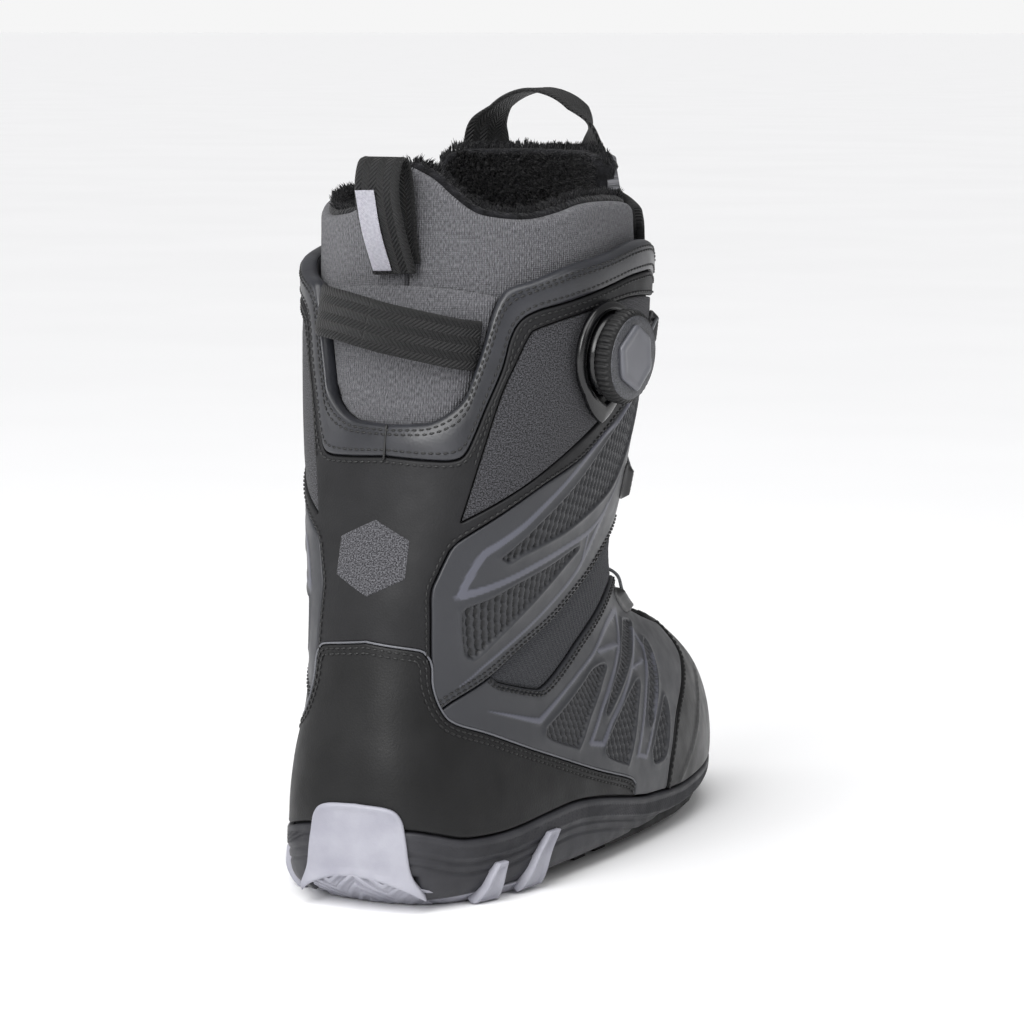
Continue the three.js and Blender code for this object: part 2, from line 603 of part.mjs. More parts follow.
function laceParts() {
  const route = laceCurve();
  add('lace', cord(route, laceRadius, laceSteps), 'metal');
  const channel = cord(route, laceChannel, laceSteps);
  for (const [i, row] of laceRows.entries()) {
    const middle = row - guideLength / 2, g = guidePlace(middle, i % 2 ? -1 : 1);
    const out = formNormal(g, middle);
    const up = form(g, row).sub(form(g, row - guideLength)).normalize();
    const turn = new THREE.Matrix4().makeBasis(up.clone().cross(out), up, out).setPosition(form(g, middle));
    const block = new THREE.BoxGeometry(...guideSize).translate(0, 0, guideLift).applyMatrix4(turn);
    add(`lace_guide_${i + 1}`, cut(block, channel), 'nylon');
  }
}

// ---- dial: housing on the cuff, spool and drive inside, knob that pulls out and turns

const dialAt = [77, 215];
const knobRadius = 17.4;
const gripRadius = 18.8;

function dialParts() {
  const frame = new THREE.Group();
  const out = formNormal(...dialAt);
  const up = new THREE.Vector3(0, 0, 1).addScaledVector(out, -out.z).normalize();
  const turn = new THREE.Matrix4().makeBasis(up.clone().cross(out), up, out);
  frame.applyMatrix4(turn.setPosition(form(...dialAt)));
  boot.add(frame);

  const bezel = new THREE.Shape();
  bezel.absarc(0, 0, 21.5, -0.6, Math.PI + 0.6);
  bezel.lineTo(-3, -27);
  bezel.quadraticCurveTo(0, -28.5, 3, -27);
  add('dial_bezel', plate(bezel, 2.2, 3.4, 30), 'nylon', frame);
  add('dial_housing', turned([[0, 6], [16.8, 6], [16.8, 9.4], [14.4, 9.4], [14.4, 7.2], [0, 7.2]]), 'nylon',
    frame);
  add('dial_axle', turned([[0, 7.5], [2.6, 7.5], [2.6, 17], [0, 17]], 20), 'metal', frame);
  add('lift_bush', turned([[2.95, 8], [3.9, 8], [3.9, 13.9], [2.95, 13.9]], 20), 'nylon', frame);
  add('spool', turned([[4.3, 7.6], [13.6, 7.6], [13.6, 8.3], [11, 8.6], [11, 10.2], [13.6, 10.5],
    [13.6, 11.2], [4.3, 11.2]]), 'nylon', frame);
  add('drive_ring', turned([[4.3, 12], [12.6, 12], [13.4, 12.6], [13.4, 13.6], [4.3, 13.6]]), 'nylon', frame);
  add('dial_knob', turned([[14.9, 10], [knobRadius, 10], [knobRadius, 16.6], [16.4, 17.4], [3.4, 17.4],
    [3.4, 14.2], [14.9, 14.2]]), 'nylon', frame);
  add('knob_grip', plate(knurled(gripRadius, 0.7, 24, knobRadius + 0.3), 6, 10.3, 1), 'rubberBlack', frame);
  add('knob_cap', plate(hexagon(13.6, 11.6), 1.9, 17.8), 'nylon', frame);
}

// A ring outline with ridges round its outside.
function knurled(radius, depth, ridges, hole) {
  const shape = new THREE.Shape();
  for (let i = 0; i < ridges; i++) {
    for (const [share, r] of [[0, radius], [0.45, radius], [0.6, radius - depth], [0.85, radius - depth]]) {
      const angle = (i + share) / ridges * 2 * Math.PI;
      const corner = [r * Math.cos(angle), r * Math.sin(angle)];
      if (i === 0 && share === 0) shape.moveTo(...corner);
      else shape.lineTo(...corner);
    }
  }
  shape.holes.push(circlePath(hole, 28));
  return shape;
}

function circlePath(radius, count) {
  const points = Array.from({ length: count }, (_, i) => {
    const angle = -i / count * 2 * Math.PI;
    return new THREE.Vector2(radius * Math.cos(angle), radius * Math.sin(angle));
  });
  return new THREE.Path(points);
}

function hexagon(tall, wide) {
  const corners = [[0, 1], [0.93, 0.52], [0.93, -0.52], [0, -1], [-0.93, -0.52], [-0.93, 0.52]];
  return new THREE.Shape(corners.map(([x, y]) => new THREE.Vector2(x * wide, y * tall)));
}

// ---- webbing loops

function loopParts() {
  const flat = new THREE.Vector3(1, 0, 0);
  const arc = (points) => (
    new THREE.CatmullRomCurve3(points.map((p) => new THREE.Vector3(...p)), false, 'centripetal'));
  const rear = arc([[-1, -45.6, 251], [-2, -53, 268], [-2.5, -57.5, 284], [-3, -54, 297.5], [-3, -48.5, 299],
    [-3, -44.6, 288], [-2.5, -43.2, 268], [-1, -42.9, 254]]);
  add('rear_loop', strap(rear, () => flat.clone(), webbingWidth, webbingThickness, 26), 'webbing');
  const labelLine = arc([[-1, -48.6, 253], [-2, -55.8, 268], [-2.5, -60, 283]]);
  add('rear_loop_label', strap(labelLine, () => flat.clone(), 9.5, 0.5, 6), 'label');
  const front = arc([[-30, 86, 286], [-30.5, 86, 296], [-29, 86, 308], [-19, 86, 318], [-5, 86, 322],
    [9, 86, 318], [19, 86, 308], [20.5, 86, 296], [20, 86, 286]]);
  const twist = (t) => Math.PI / 2 * (clamp(t / 0.3) + clamp((t - 0.7) / 0.3));
  const turning = (t) => new THREE.Vector3(Math.cos(twist(t)), Math.sin(twist(t)), 0);
  add('front_loop', strap(front, turning, webbingWidth, webbingThickness, 30), 'webbing');
  const handle = arc([[-34, -47, 236], [-30, -56, 236], [-14, -65, 234.5], [4, -67.5, 231.5], [22, -64, 228],
    [37, -54, 224], [41, -47.5, 223]]);
  const upright = new THREE.Vector3(0, 0.1, 1);
  add('heel_strap', strap(handle, () => upright.clone(), webbingWidth, webbingThickness, 26), 'webbing');
}

soleParts();
shellParts();
linerParts();
tongueParts();
laceParts();
dialParts();
loopParts();

export default boot;
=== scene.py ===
import math
import bpy
import numpy as np
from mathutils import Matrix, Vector, geometry


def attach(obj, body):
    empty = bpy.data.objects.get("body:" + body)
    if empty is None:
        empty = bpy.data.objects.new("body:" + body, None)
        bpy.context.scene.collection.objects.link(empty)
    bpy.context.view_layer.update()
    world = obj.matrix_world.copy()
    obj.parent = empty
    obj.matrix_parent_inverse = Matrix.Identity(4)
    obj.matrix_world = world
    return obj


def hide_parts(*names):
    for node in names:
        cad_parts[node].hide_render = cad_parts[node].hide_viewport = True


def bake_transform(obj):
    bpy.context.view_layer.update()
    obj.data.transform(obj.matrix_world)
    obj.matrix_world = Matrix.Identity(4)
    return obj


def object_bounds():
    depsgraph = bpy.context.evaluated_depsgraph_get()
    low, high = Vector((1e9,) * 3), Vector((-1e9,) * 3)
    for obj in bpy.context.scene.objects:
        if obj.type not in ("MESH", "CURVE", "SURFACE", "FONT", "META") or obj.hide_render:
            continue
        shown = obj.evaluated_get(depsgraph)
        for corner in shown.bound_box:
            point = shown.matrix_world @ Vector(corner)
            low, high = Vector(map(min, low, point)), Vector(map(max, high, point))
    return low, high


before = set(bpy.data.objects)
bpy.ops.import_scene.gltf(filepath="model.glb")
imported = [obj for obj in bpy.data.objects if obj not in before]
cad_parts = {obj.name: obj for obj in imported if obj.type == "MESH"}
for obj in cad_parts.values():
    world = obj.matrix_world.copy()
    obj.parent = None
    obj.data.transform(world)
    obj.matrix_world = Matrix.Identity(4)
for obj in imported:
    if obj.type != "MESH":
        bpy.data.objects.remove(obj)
cadLow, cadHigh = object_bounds()
toMetres = 0.001            # shapes below are worked out in millimetres
dice = np.random.default_rng(11)


# The camera stands behind the boot and to its outer side.
shot = {"azimuth": 28, "elevation": 7.5, "distance": 1.56, "lens": 129.4,
        "aim": (-0.0034, -0.0213, -0.0167)}      # aimed at, in metres from the middle of the CAD box


def makeCamera():
    aim = (cadLow + cadHigh) / 2 + Vector(shot["aim"])
    turn, tilt = math.radians(shot["azimuth"]), math.radians(shot["elevation"])
    back = Vector((math.sin(turn) * math.cos(tilt), -math.cos(turn) * math.cos(tilt), math.sin(tilt)))
    camera = bpy.data.objects.new("camera", bpy.data.cameras.new("camera"))
    bpy.context.scene.collection.objects.link(camera)
    camera.data.lens = shot["lens"]
    camera.location = aim + back * shot["distance"]
    camera.rotation_mode = "QUATERNION"
    camera.rotation_quaternion = (-back).to_track_quat("-Z", "Y")
    bpy.context.scene.camera = camera


makeCamera()
print("camera placed")


# The form is the last that the boot is built on: level sections as
# height, back, front, front height, outer, inner, widest, back power, front power.
last = {
    "sections": [
        [0, -68, 200, 8, 46, 48, 0.62, 3.2, 2.2],
        [10, -81, 213, 17, 51, 53, 0.62, 3.4, 2.2],
        [34, -83, 215, 40, 51.5, 54, 0.61, 3.3, 2.2],
        [55, -82, 204, 61, 48.5, 52, 0.58, 3.1, 2.2],
        [76, -78, 172, 80, 45, 48, 0.53, 2.8, 2.2],
        [97, -74, 126, 100, 43, 46, 0.47, 2.6, 2.1],
        [123, -70, 101, 128, 46.5, 49, 0.45, 2.4, 2.1],
        [154, -62, 97, 161, 54, 55, 0.45, 2.4, 2.2],
        [190, -55, 95, 198, 61, 61, 0.46, 2.4, 2.3],
        [232, -49, 97, 240, 65.5, 65.5, 0.48, 2.4, 2.3],
        [274, -45, 92, 281, 66.5, 66.5, 0.48, 2.4, 2.3],
        [320, -43, 84, 325, 67, 67, 0.48, 2.4, 2.3],
    ],
    "toeSwing": 12,         # how far the toe bends to the inner side
    "swingHeight": (150, 60),       # the bend starts at this height, and is full this far below it
    "swingLength": (40, 170),       # it starts this far forward, and is full this far beyond that
    "levels": (-14, 334),   # levels that the table below covers
    "loopPoints": 901,      # points that half a level section is drawn with before it is evened out
}
halfGirth = 181             # rows of the table round one side, a degree of girth apart
backSeam = 1.5              # girth of the seam at the back, which the two sides mirror about
toeMiddle = backSeam + 180


# Weights of four neighbouring values for a smooth curve through the middle two.
def cubicWeights(t):
    return np.stack([-t / 2 + t**2 - t**3 / 2, 1 - 2.5 * t**2 + 1.5 * t**3, t / 2 + 2 * t**2 - 1.5 * t**3,
                     -t**2 / 2 + t**3 / 2])


# The sections above, run smoothly through every level.
def levelSections(levels):
    rows = np.array(last["sections"], float)
    at, values = rows[:, 0], rows[:, 1:]
    low = np.maximum(np.arange(len(at)) - 1, 0)
    high = np.minimum(np.arange(len(at)) + 1, len(at) - 1)
    slopes = (values[high] - values[low]) / (at[high] - at[low])[:, None]
    i = np.clip(np.searchsorted(at, levels, side="right") - 1, 0, len(at) - 2)
    h = (at[i + 1] - at[i])[:, None]
    t = (levels - at[i])[:, None] / h
    return ((2 * t**3 - 3 * t**2 + 1) * values[i] + (t**3 - 2 * t**2 + t) * h * slopes[i]
            + (3 * t**2 - 2 * t**3) * values[i + 1] + (t**3 - t**2) * h * slopes[i + 1])


# One side of each level section, from heel to toe, with its points evenly spaced.
def loopsOf(side, levels):
    t = np.linspace(0, 1, last["loopPoints"])
    angle = math.pi * (t - 0.98 * np.sin(4 * math.pi * t) / (4 * math.pi))
    c, s = np.cos(angle), np.clip(np.sin(angle), 0, 1)
    back, front, frontHeight, outer, inner, widest, backPower, frontPower = levelSections(levels).T[:, :, None]
    wide = back + (front - back) * widest
    power = 2 / np.where(c >= 0, backPower, frontPower)
    along = np.abs(c) ** power
    y = np.where(c >= 0, wide - (wide - back) * along, wide + (front - wide) * along)
    z = levels[:, None] + (frontHeight - levels[:, None]) * (y - back) / (front - back)
    top, fall = last["swingHeight"]
    start, run = last["swingLength"]
    swing = last["toeSwing"] * np.clip((top - z) / fall, 0, 1) * np.clip((y - start) / run, 0, 1) ** 1.5
    points = np.stack([side * (outer if side > 0 else inner) * s**power - swing, y, z], -1)
    evened = np.empty((len(levels), halfGirth, 3))
    for k, loop in enumerate(points):
        lengths = np.concatenate([[0], np.cumsum(np.linalg.norm(np.diff(loop, axis=0), axis=1))])
        stops = np.linspace(0, lengths[-1], halfGirth)
        evened[k] = np.stack([np.interp(stops, lengths, loop[:, i]) for i in range(3)], -1)
    return evened


def makeTable():
    levels = np.arange(last["levels"][0], last["levels"][1] + 1.0)
    outer, inner = loopsOf(1, levels), loopsOf(-1, levels)
    return np.concatenate([outer, inner[:, halfGirth - 2:0:-1]], axis=1)


formTable = makeTable()


# A point of the form: girth runs in degrees by arc length, 0 at the back, positive to the outer side.
def form(girth, height):
    g, v = np.mod(girth, 360.0), np.asarray(height, float) - last["levels"][0]
    gi, vi = np.floor(g).astype(int), np.clip(np.floor(v).astype(int), 1, len(formTable) - 3)
    across, up = cubicWeights(g - gi), cubicWeights(v - vi)
    total = 0
    for a in range(4):
        for b in range(4):
            total = total + (up[a] * across[b])[..., None] * formTable[vi + a - 1, (gi + b - 1) % 360]
    return total


slopeReach = 1.2            # girth and height either side of a point that its normal is taken over


def outwards(g, v):
    d = slopeReach
    n = np.cross(form(g + d, v) - form(g - d, v), form(g, v + d) - form(g, v - d))
    return n / np.linalg.norm(n, axis=-1, keepdims=True)


# A point at an offset from the form, in millimetres along its normal.
def skin(g, v, offset):
    g, v = np.broadcast_arrays(np.asarray(g, float), np.asarray(v, float))
    return form(g, v) + outwards(g, v) * np.broadcast_to(offset, g.shape)[..., None]


# Borders between the panels of the outer side as girth and height.
borders = {
    "collarTop": [[1.5, 190.5], [9.5, 191], [16, 192], [22, 196], [26.5, 202], [28.5, 210], [31, 221.5],
                  [33.5, 234.5], [36, 241.5], [39, 244.5], [47, 247], [60.5, 251.5], [78.5, 254], [96, 256.5],
                  [109, 256], [117, 253.5], [122, 248]],
    "collarBottom": [[1.5, 178.5], [17, 177.5], [24, 177.5], [27.5, 179.5], [30, 186.5], [33, 198],
                     [37, 212.5], [39, 225], [42, 232], [47.5, 235.5], [56.5, 237.5], [66.5, 239.5],
                     [79.5, 242], [95.5, 244], [115, 243], [127, 238]],
    "textileTop": [[28.5, 153], [32.5, 175], [37.5, 201.5], [41, 213.5], [45, 225], [48.5, 228.5],
                   [65, 232.5], [95, 235], [128.5, 230]],
    "textileBottom": [[28.5, 153], [48, 164.5], [69, 178], [92, 191], [130, 212]],
    "upperTop": [[26, 142], [29, 146], [41, 154.5], [57.5, 165], [77.5, 174], [98.5, 187.5], [130.5, 205]],
    "upperBack": [[21, 79], [20, 88], [20.7, 97], [21.5, 114], [21.5, 126], [23, 132], [26, 142]],
    "upperBottom": [[21, 79], [26, 82.5], [40, 89.5], [56.5, 98.5], [76, 106.5], [91, 114], [104.5, 120.5],
                    [119.5, 129], [137, 136]],
    "gussetBottom": [[40, 89.5], [42, 86.5], [55, 79.8], [60, 79.8], [73.5, 86.3], [93.5, 95.8],
                     [117.5, 105.8], [130.5, 110], [141, 112]],
    "counterTop": [[1.5, 106], [16.5, 103.5], [19.3, 101.5], [20.7, 97], [20, 88], [21, 79], [24, 73],
                   [33.5, 66.5], [49, 54.5], [69, 40], [85, 30], [88.5, 26]],
    "toeCapBack": [[106.5, 16], [109.5, 30.5], [116.5, 45.5], [130, 57], [146, 68], [156, 80]],
    "throat": [[127, 238], [129, 225], [130, 200], [132, 175], [135, 150], [137, 136], [141, 112],
               [145, 98], [150, 88], [156, 80]],
    "foxingTop": [[0, 35], [12, 33], [17, 31], [24, 27.5], [33.5, 26.5], [41, 27], [51, 28.5], [62, 29],
                  [74, 26], [88, 20.5], [95.5, 18], [112, 15], [126.5, 14.5], [180, 16]],
    "linerTop": [[1.5, 293.5], [10, 289], [18, 282], [26, 276], [34.5, 273.5], [47.5, 272], [60.5, 273.5],
                 [71.5, 275.5], [84, 275.5], [100, 274], [115, 271.5], [128, 268]],
    "linerThroat": [[132, 265], [136, 225], [138, 175], [142, 140], [147, 112], [152, 98], [158, 89], [163, 83]],
}
borderSteps = 8             # points along a border between two of its knots
seamGap = 0.35              # each panel stops this far short of its border


# A smooth line through points.
def splined(points, steps=borderSteps):
    p = np.array(points, float)
    p = np.vstack([2 * p[0] - p[1], p, 2 * p[-1] - p[-2]])
    t = np.linspace(0, 1, steps, endpoint=False)
    w = cubicWeights(t)
    parts = [sum(w[k][:, None] * p[i + k] for k in range(4)) for i in range(len(p) - 3)]
    return np.vstack([*parts, p[-2]])


# A border, or the stretch of it between two of its knots.
def border(name, first=0, end=None):
    line = splined(borders[name])
    stop = len(line) if end is None else end * borderSteps + 1
    return line[first * borderSteps:stop]


# The same points on the inner side, in the other order.
def mirrored(points):
    p = np.array(points, float)
    return np.stack([2 * backSeam - p[:, 0], p[:, 1]], -1)[::-1]


# The same, counted on round the toe, for outlines that cross it.
def beyondToe(points):
    return mirrored(points) + [360, 0]


sides = {"lateral": lambda points: np.array(points, float), "medial": mirrored}


def area(polygon):
    x, y = polygon.T
    return (x * np.roll(y, -1) - np.roll(x, -1) * y).sum() / 2


# Joins lines into one outline that runs anticlockwise, without its repeated corners.
def ring(*parts):
    points = np.vstack([np.array(p, float) for p in parts])
    points = points[np.linalg.norm(points - np.roll(points, -1, axis=0), axis=1) > 0.05]
    return points if area(points) > 0 else points[::-1]


# The line with its points a step apart in millimetres, measured at an offset from the form.
def spaced(line, step, closed=False, offset=2.0):
    pts = np.vstack([line, line[:1]]) if closed else np.array(line, float)
    solid = skin(pts[:, 0], pts[:, 1], offset)
    lengths = np.concatenate([[0], np.cumsum(np.linalg.norm(np.diff(solid, axis=0), axis=1))])
    count = max(3, int(round(lengths[-1] / step)))
    stops = np.linspace(0, lengths[-1], count + 1)
    if closed:
        stops = stops[:-1]
    return np.stack([np.interp(stops, lengths, pts[:, i]) for i in range(2)], -1)


# Distance of each point to a line in space, and the nearest place on the line, counted in its points.
def reach(points, line, closed=False):
    run = np.vstack([line, line[:1]]) if closed else line
    starts, steps = run[:-1], np.diff(run, axis=0)
    squares = (steps**2).sum(1).clip(1e-9)
    away, along = np.empty(len(points)), np.empty(len(points))
    chunk = 2000            # points measured at a time
    for i in range(0, len(points), chunk):
        rel = points[i:i + chunk, None] - starts[None]
        t = np.clip((rel * steps).sum(2) / squares, 0, 1)
        d = ((rel - t[..., None] * steps) ** 2).sum(2)
        k = d.argmin(1)
        rows = np.arange(len(k))
        away[i:i + chunk] = np.sqrt(d[rows, k])
        along[i:i + chunk] = k + t[rows, k]
    return away, along


def inside(points, polygon):
    x, y = points[:, 0][:, None], points[:, 1][:, None]
    a, b = polygon, np.roll(polygon, -1, axis=0)
    rise = np.where(np.abs(b[:, 1] - a[:, 1]) < 1e-9, 1e-9, b[:, 1] - a[:, 1])
    crosses = (a[:, 1] > y) != (b[:, 1] > y)
    return (crosses & (x < a[:, 0] + (y - a[:, 1]) / rise * (b[:, 0] - a[:, 0]))).sum(1) % 2 == 1


# Millimetres to a degree of girth and to a unit of height.
def scalesAt(g, v):
    across = np.linalg.norm(form(g + 0.5, v) - form(g - 0.5, v), axis=-1)
    up = np.linalg.norm(form(g, v + 0.5) - form(g, v - 0.5), axis=-1)
    return np.stack([across, up], -1)


# Moves a line sideways on the surface, to its left for a positive distance.
def besideLine(line, distance, closed=False):
    scale = scalesAt(line[:, 0], line[:, 1])
    solid = line * 1.0
    if closed:
        ahead, behind = np.roll(solid, -1, axis=0), np.roll(solid, 1, axis=0)
    else:
        ahead = np.vstack([solid[1:], 2 * solid[-1] - solid[-2]])
        behind = np.vstack([2 * solid[0] - solid[1], solid[:-1]])
    along = (ahead - behind) * scale
    left = np.stack([-along[:, 1], along[:, 0]], -1)
    left /= np.linalg.norm(left, axis=1, keepdims=True).clip(1e-9)
    return line + left * distance / scale


# Staggered rows of points over a polygon, as the corners of triangles with equal sides.
def gridOver(polygon, step, scale):
    low, high = polygon.min(0) * scale, polygon.max(0) * scale
    rows = []
    for k, y in enumerate(np.arange(low[1], high[1], step * 0.866)):
        x = np.arange(low[0] + (k % 2) * step / 2, high[0], step)
        rows.append(np.stack([x, np.full(len(x), y)], -1))
    points = np.vstack(rows) / scale
    return points[inside(points, polygon)]


# Triangles that fill a loop through the points inside it.
def filled(loop, inner, scale):
    flat = np.vstack([loop, inner]) * scale
    edges = [(i, (i + 1) % len(loop)) for i in range(len(loop))]
    corners, _, faces, origins, _, _ = geometry.delaunay_2d_cdt([Vector(p) for p in flat], edges, [], 1, 1e-5)
    source = [o[0] if o else -1 for o in origins]
    kept = [tuple(source[i] for i in f) for f in faces]
    kept = [f for f in kept if -1 not in f and len(set(f)) == 3]
    triangles = np.array(kept, int)
    a, b, c = flat[triangles[:, 0]], flat[triangles[:, 1]], flat[triangles[:, 2]]
    turn = (b - a)[:, 0] * (c - a)[:, 1] - (b - a)[:, 1] * (c - a)[:, 0]
    triangles[turn < 0] = triangles[turn < 0][:, ::-1]
    return triangles


def smoothstep(x, low, high):
    t = np.clip((x - low) / (high - low), 0, 1)
    return t * t * (3 - 2 * t)


# How far a rounded edge has dropped: 1 at the rim, and 0 from its width inwards.
def edgeDrop(away, width):
    return 1 - np.sqrt(1 - (1 - np.clip(away / width, 0, 1)) ** 2)


# Makes an object from points in millimetres, in a finish, riding on a body.
def makePiece(name, points, faces, look, body, stands=(), marks=None):
    points = np.array(points, float)
    points[:, 2] = points[:, 2].clip(0)                 # nothing reaches below the ground
    mesh = bpy.data.meshes.new(name)
    mesh.from_pydata((points * toMetres).tolist(), [], [list(map(int, f)) for f in faces])
    mesh.validate()
    for mark, values in (marks or {}).items():
        values = np.asarray(values, np.float32)
        kind = "FLOAT_VECTOR" if values.ndim == 2 else "FLOAT"
        layer = mesh.attributes.new(mark, kind, "POINT")
        layer.data.foreach_set("vector" if values.ndim == 2 else "value", values.ravel())
    mesh.materials.append(finish[look])
    mesh.shade_smooth()
    piece = bpy.data.objects.new(name, mesh)
    bpy.context.scene.collection.objects.link(piece)
    if body:
        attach(piece, body)
    if stands:
        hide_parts(*stands)
    return piece


panelMesh = {
    "edgeRows": (0.12, 0.35, 0.65, 1.0),    # rows of points over the rounded edge, as shares of its width
    "rowReach": 0.93,                       # a row's points are dropped where they come nearer the rim than this
    "drop": 0.8,                            # how far the edge drops at the rim, as a share of its width
    "under": 9, "underMargin": 3,           # spacing of the underside's points, and their distance from the rim
}


# A panel: its outline filled on the form, raised from low to high with a rounded edge, closed underneath.
# fine lists polygons with the spacing wanted inside them; relief gives extra height and shader marks.
def panel(name, outline, look, body="boot", low=0.3, high=2.5, edge=1.0, gap=seamGap, grid=2.6, fine=(),
          relief=None, stands=(), step=0.9):
    loop = spaced(besideLine(spaced(outline, 0.5, True), gap, True), step, True)
    centre = loop.mean(0)
    scale = scalesAt(centre[:1], centre[1:])[0]
    rim = skin(loop[:, 0], loop[:, 1], high)
    inner = []
    for share in panelMesh["edgeRows"]:
        row = besideLine(loop, edge * share, True)
        away, _ = reach(skin(row[:, 0], row[:, 1], high), rim, True)
        inner.append(row[(away > edge * share * panelMesh["rowReach"]) & inside(row, loop)])
    for spot, spacing in [(loop, grid), *fine]:
        dots = gridOver(spot, spacing, scale)
        dots = dots[inside(dots, loop)]
        away, _ = reach(skin(dots[:, 0], dots[:, 1], high), rim, True)
        dots = dots[away > edge + min(spacing, 1.2) * 0.5]
        if spot is loop:
            for other, _ in fine:
                dots = dots[~inside(dots, other)]
        inner.append(dots)
    inner = np.vstack(inner)
    spots = np.vstack([loop, inner])
    away, _ = reach(skin(spots[:, 0], spots[:, 1], high), rim, True)
    away[:len(loop)] = 0
    lift = high - edge * panelMesh["drop"] * edgeDrop(away, edge)
    marks = {}
    if relief:
        extra, marks = relief(spots, skin(spots[:, 0], spots[:, 1], high), away)
        lift = lift + extra
    top = filled(loop, inner, scale)
    under = gridOver(loop, panelMesh["under"], scale)
    away, _ = reach(skin(under[:, 0], under[:, 1], high), rim, True)
    under = under[away > panelMesh["underMargin"]]
    count, around = len(spots), len(loop)
    base = filled(loop, under, scale)[:, ::-1]
    points = np.vstack([skin(spots[:, 0], spots[:, 1], lift), skin(loop[:, 0], loop[:, 1], low),
                        skin(under[:, 0], under[:, 1], low)])
    i = np.arange(around)
    j = (i + 1) % around
    walls = np.stack([j, i, count + i, count + j], -1)
    faces = [*top.tolist(), *(base + count).tolist(), *walls.tolist()]
    every = np.vstack([spots, loop, under])
    marks = {key: np.concatenate([value, np.zeros(around + len(under))]) for key, value in marks.items()}
    marks["lay"] = np.column_stack([every * scale, np.zeros(len(every))])      # millimetres over the panel
    return makePiece(name, points, faces, look, body, stands, marks)


def joinedPiece(name, parts, look, body):
    points, faces, count = [], [], 0
    for p, f in parts:
        points.append(p)
        faces += (np.asarray(f) + count).tolist()
        count += len(p)
    return makePiece(name, np.vstack(points), faces, look, body)


# Four-sided faces between loops of points; a closed run joins the last loop to the first.
def loopFaces(count, size, closed=False):
    return [[k * size + s, k * size + (s + 1) % size, (k + 1) % count * size + (s + 1) % size,
             (k + 1) % count * size + s] for k in range(count if closed else count - 1) for s in range(size)]


# Loops of points joined one to the next, with both ends capped.
def lofted(loops):
    size, count = len(loops[0]), len(loops)
    caps = [list(range(size))[::-1], list(range((count - 1) * size, count * size))]
    return np.vstack(loops), loopFaces(count, size) + caps


seam = {"pitch": 3.0, "length": 2.3, "thread": 1.0, "taper": 2.6, "sides": 6, "rows": 5}


# A capsule-shaped stitch, 1 long and 1 across, along x.
def stitchShape():
    t = np.linspace(-1, 1, seam["rows"])
    radius = 0.5 * np.sqrt(np.clip(1 - np.abs(t) ** seam["taper"], 0.02, 1))
    angle = np.arange(seam["sides"]) / seam["sides"] * 2 * math.pi
    points = np.array([[t[k] / 2, radius[k] * math.cos(a), radius[k] * math.sin(a)]
                       for k in range(seam["rows"]) for a in angle])
    return points, loopFaces(seam["rows"], seam["sides"])


# Rows of stitches along lines on the form; each row is (line, offset from the skin).
def stitches(name, rows, body="boot"):
    shape, quads = stitchShape()
    parts = []
    for line, offset in rows:
        run = spaced(line, seam["pitch"])
        middle = (run[:-1] + run[1:]) / 2
        a, b = skin(run[:-1, 0], run[:-1, 1], offset), skin(run[1:, 0], run[1:, 1], offset)
        along = b - a
        along /= np.linalg.norm(along, axis=1, keepdims=True).clip(1e-9)
        out = outwards(middle[:, 0], middle[:, 1])
        side = np.cross(out, along)
        for m, x, y, z in zip((a + b) / 2, along, side, out):
            place = np.stack([x * seam["length"], y * seam["thread"], z * seam["thread"]])
            parts.append((shape @ place + m, quads))
    joinedPiece(name, parts, "thread", body)


# A round tube along a path, turned as little as it can be from each point to the next.
def tube(path, radius, around=8):
    path = np.asarray(path, float)
    along = np.gradient(path, axis=0)
    along /= np.linalg.norm(along, axis=1, keepdims=True)
    side = np.cross(along[0], [0.3, 0.2, 0.93])         # any direction that no path starts in
    angle = np.arange(around) / around * 2 * math.pi
    loops = []
    for p, t in zip(path, along):
        side = side - t * (side @ t)
        side /= np.linalg.norm(side)
        up = np.cross(t, side)
        loops.append(p + radius * (np.cos(angle)[:, None] * side + np.sin(angle)[:, None] * up))
    return lofted(loops)


# A hex colour as the linear values that a shader takes.
def linear(code):
    parts = [int(code[i:i + 2], 16) / 255 for i in (1, 3, 5)]
    return [*((c / 12.92 if c <= 0.04045 else ((c + 0.055) / 1.055) ** 2.4) for c in parts), 1.0]


# Adds a node: links holds its inputs, as sockets to join or plain values, and settings its own properties.
def addNode(tree, kind, links=None, **settings):
    made = tree.nodes.new(kind)
    for key, value in settings.items():
        setattr(made, key, value)
    for socket, value in (links or {}).items():
        if isinstance(value, bpy.types.NodeSocket):
            tree.links.new(value, made.inputs[socket])
        else:
            made.inputs[socket].default_value = value
    return made


# Starts a finish. Its patterns lie in the object's metres, or in the millimetres of a piece's own lay.
def newFinish(name, roughness, overLay=False, **sockets):
    material = bpy.data.materials.new(name)
    material.use_nodes = True
    tree = material.node_tree
    shader = tree.nodes["Principled BSDF"]
    shader.inputs["Roughness"].default_value = roughness
    for socket, value in sockets.items():
        shader.inputs[socket.replace("_", " ")].default_value = value
    if overLay:
        place = addNode(tree, "ShaderNodeAttribute", attribute_name="lay").outputs["Vector"]
    else:
        place = addNode(tree, "ShaderNodeTexCoord").outputs["Object"]
    return material, tree, shader, place


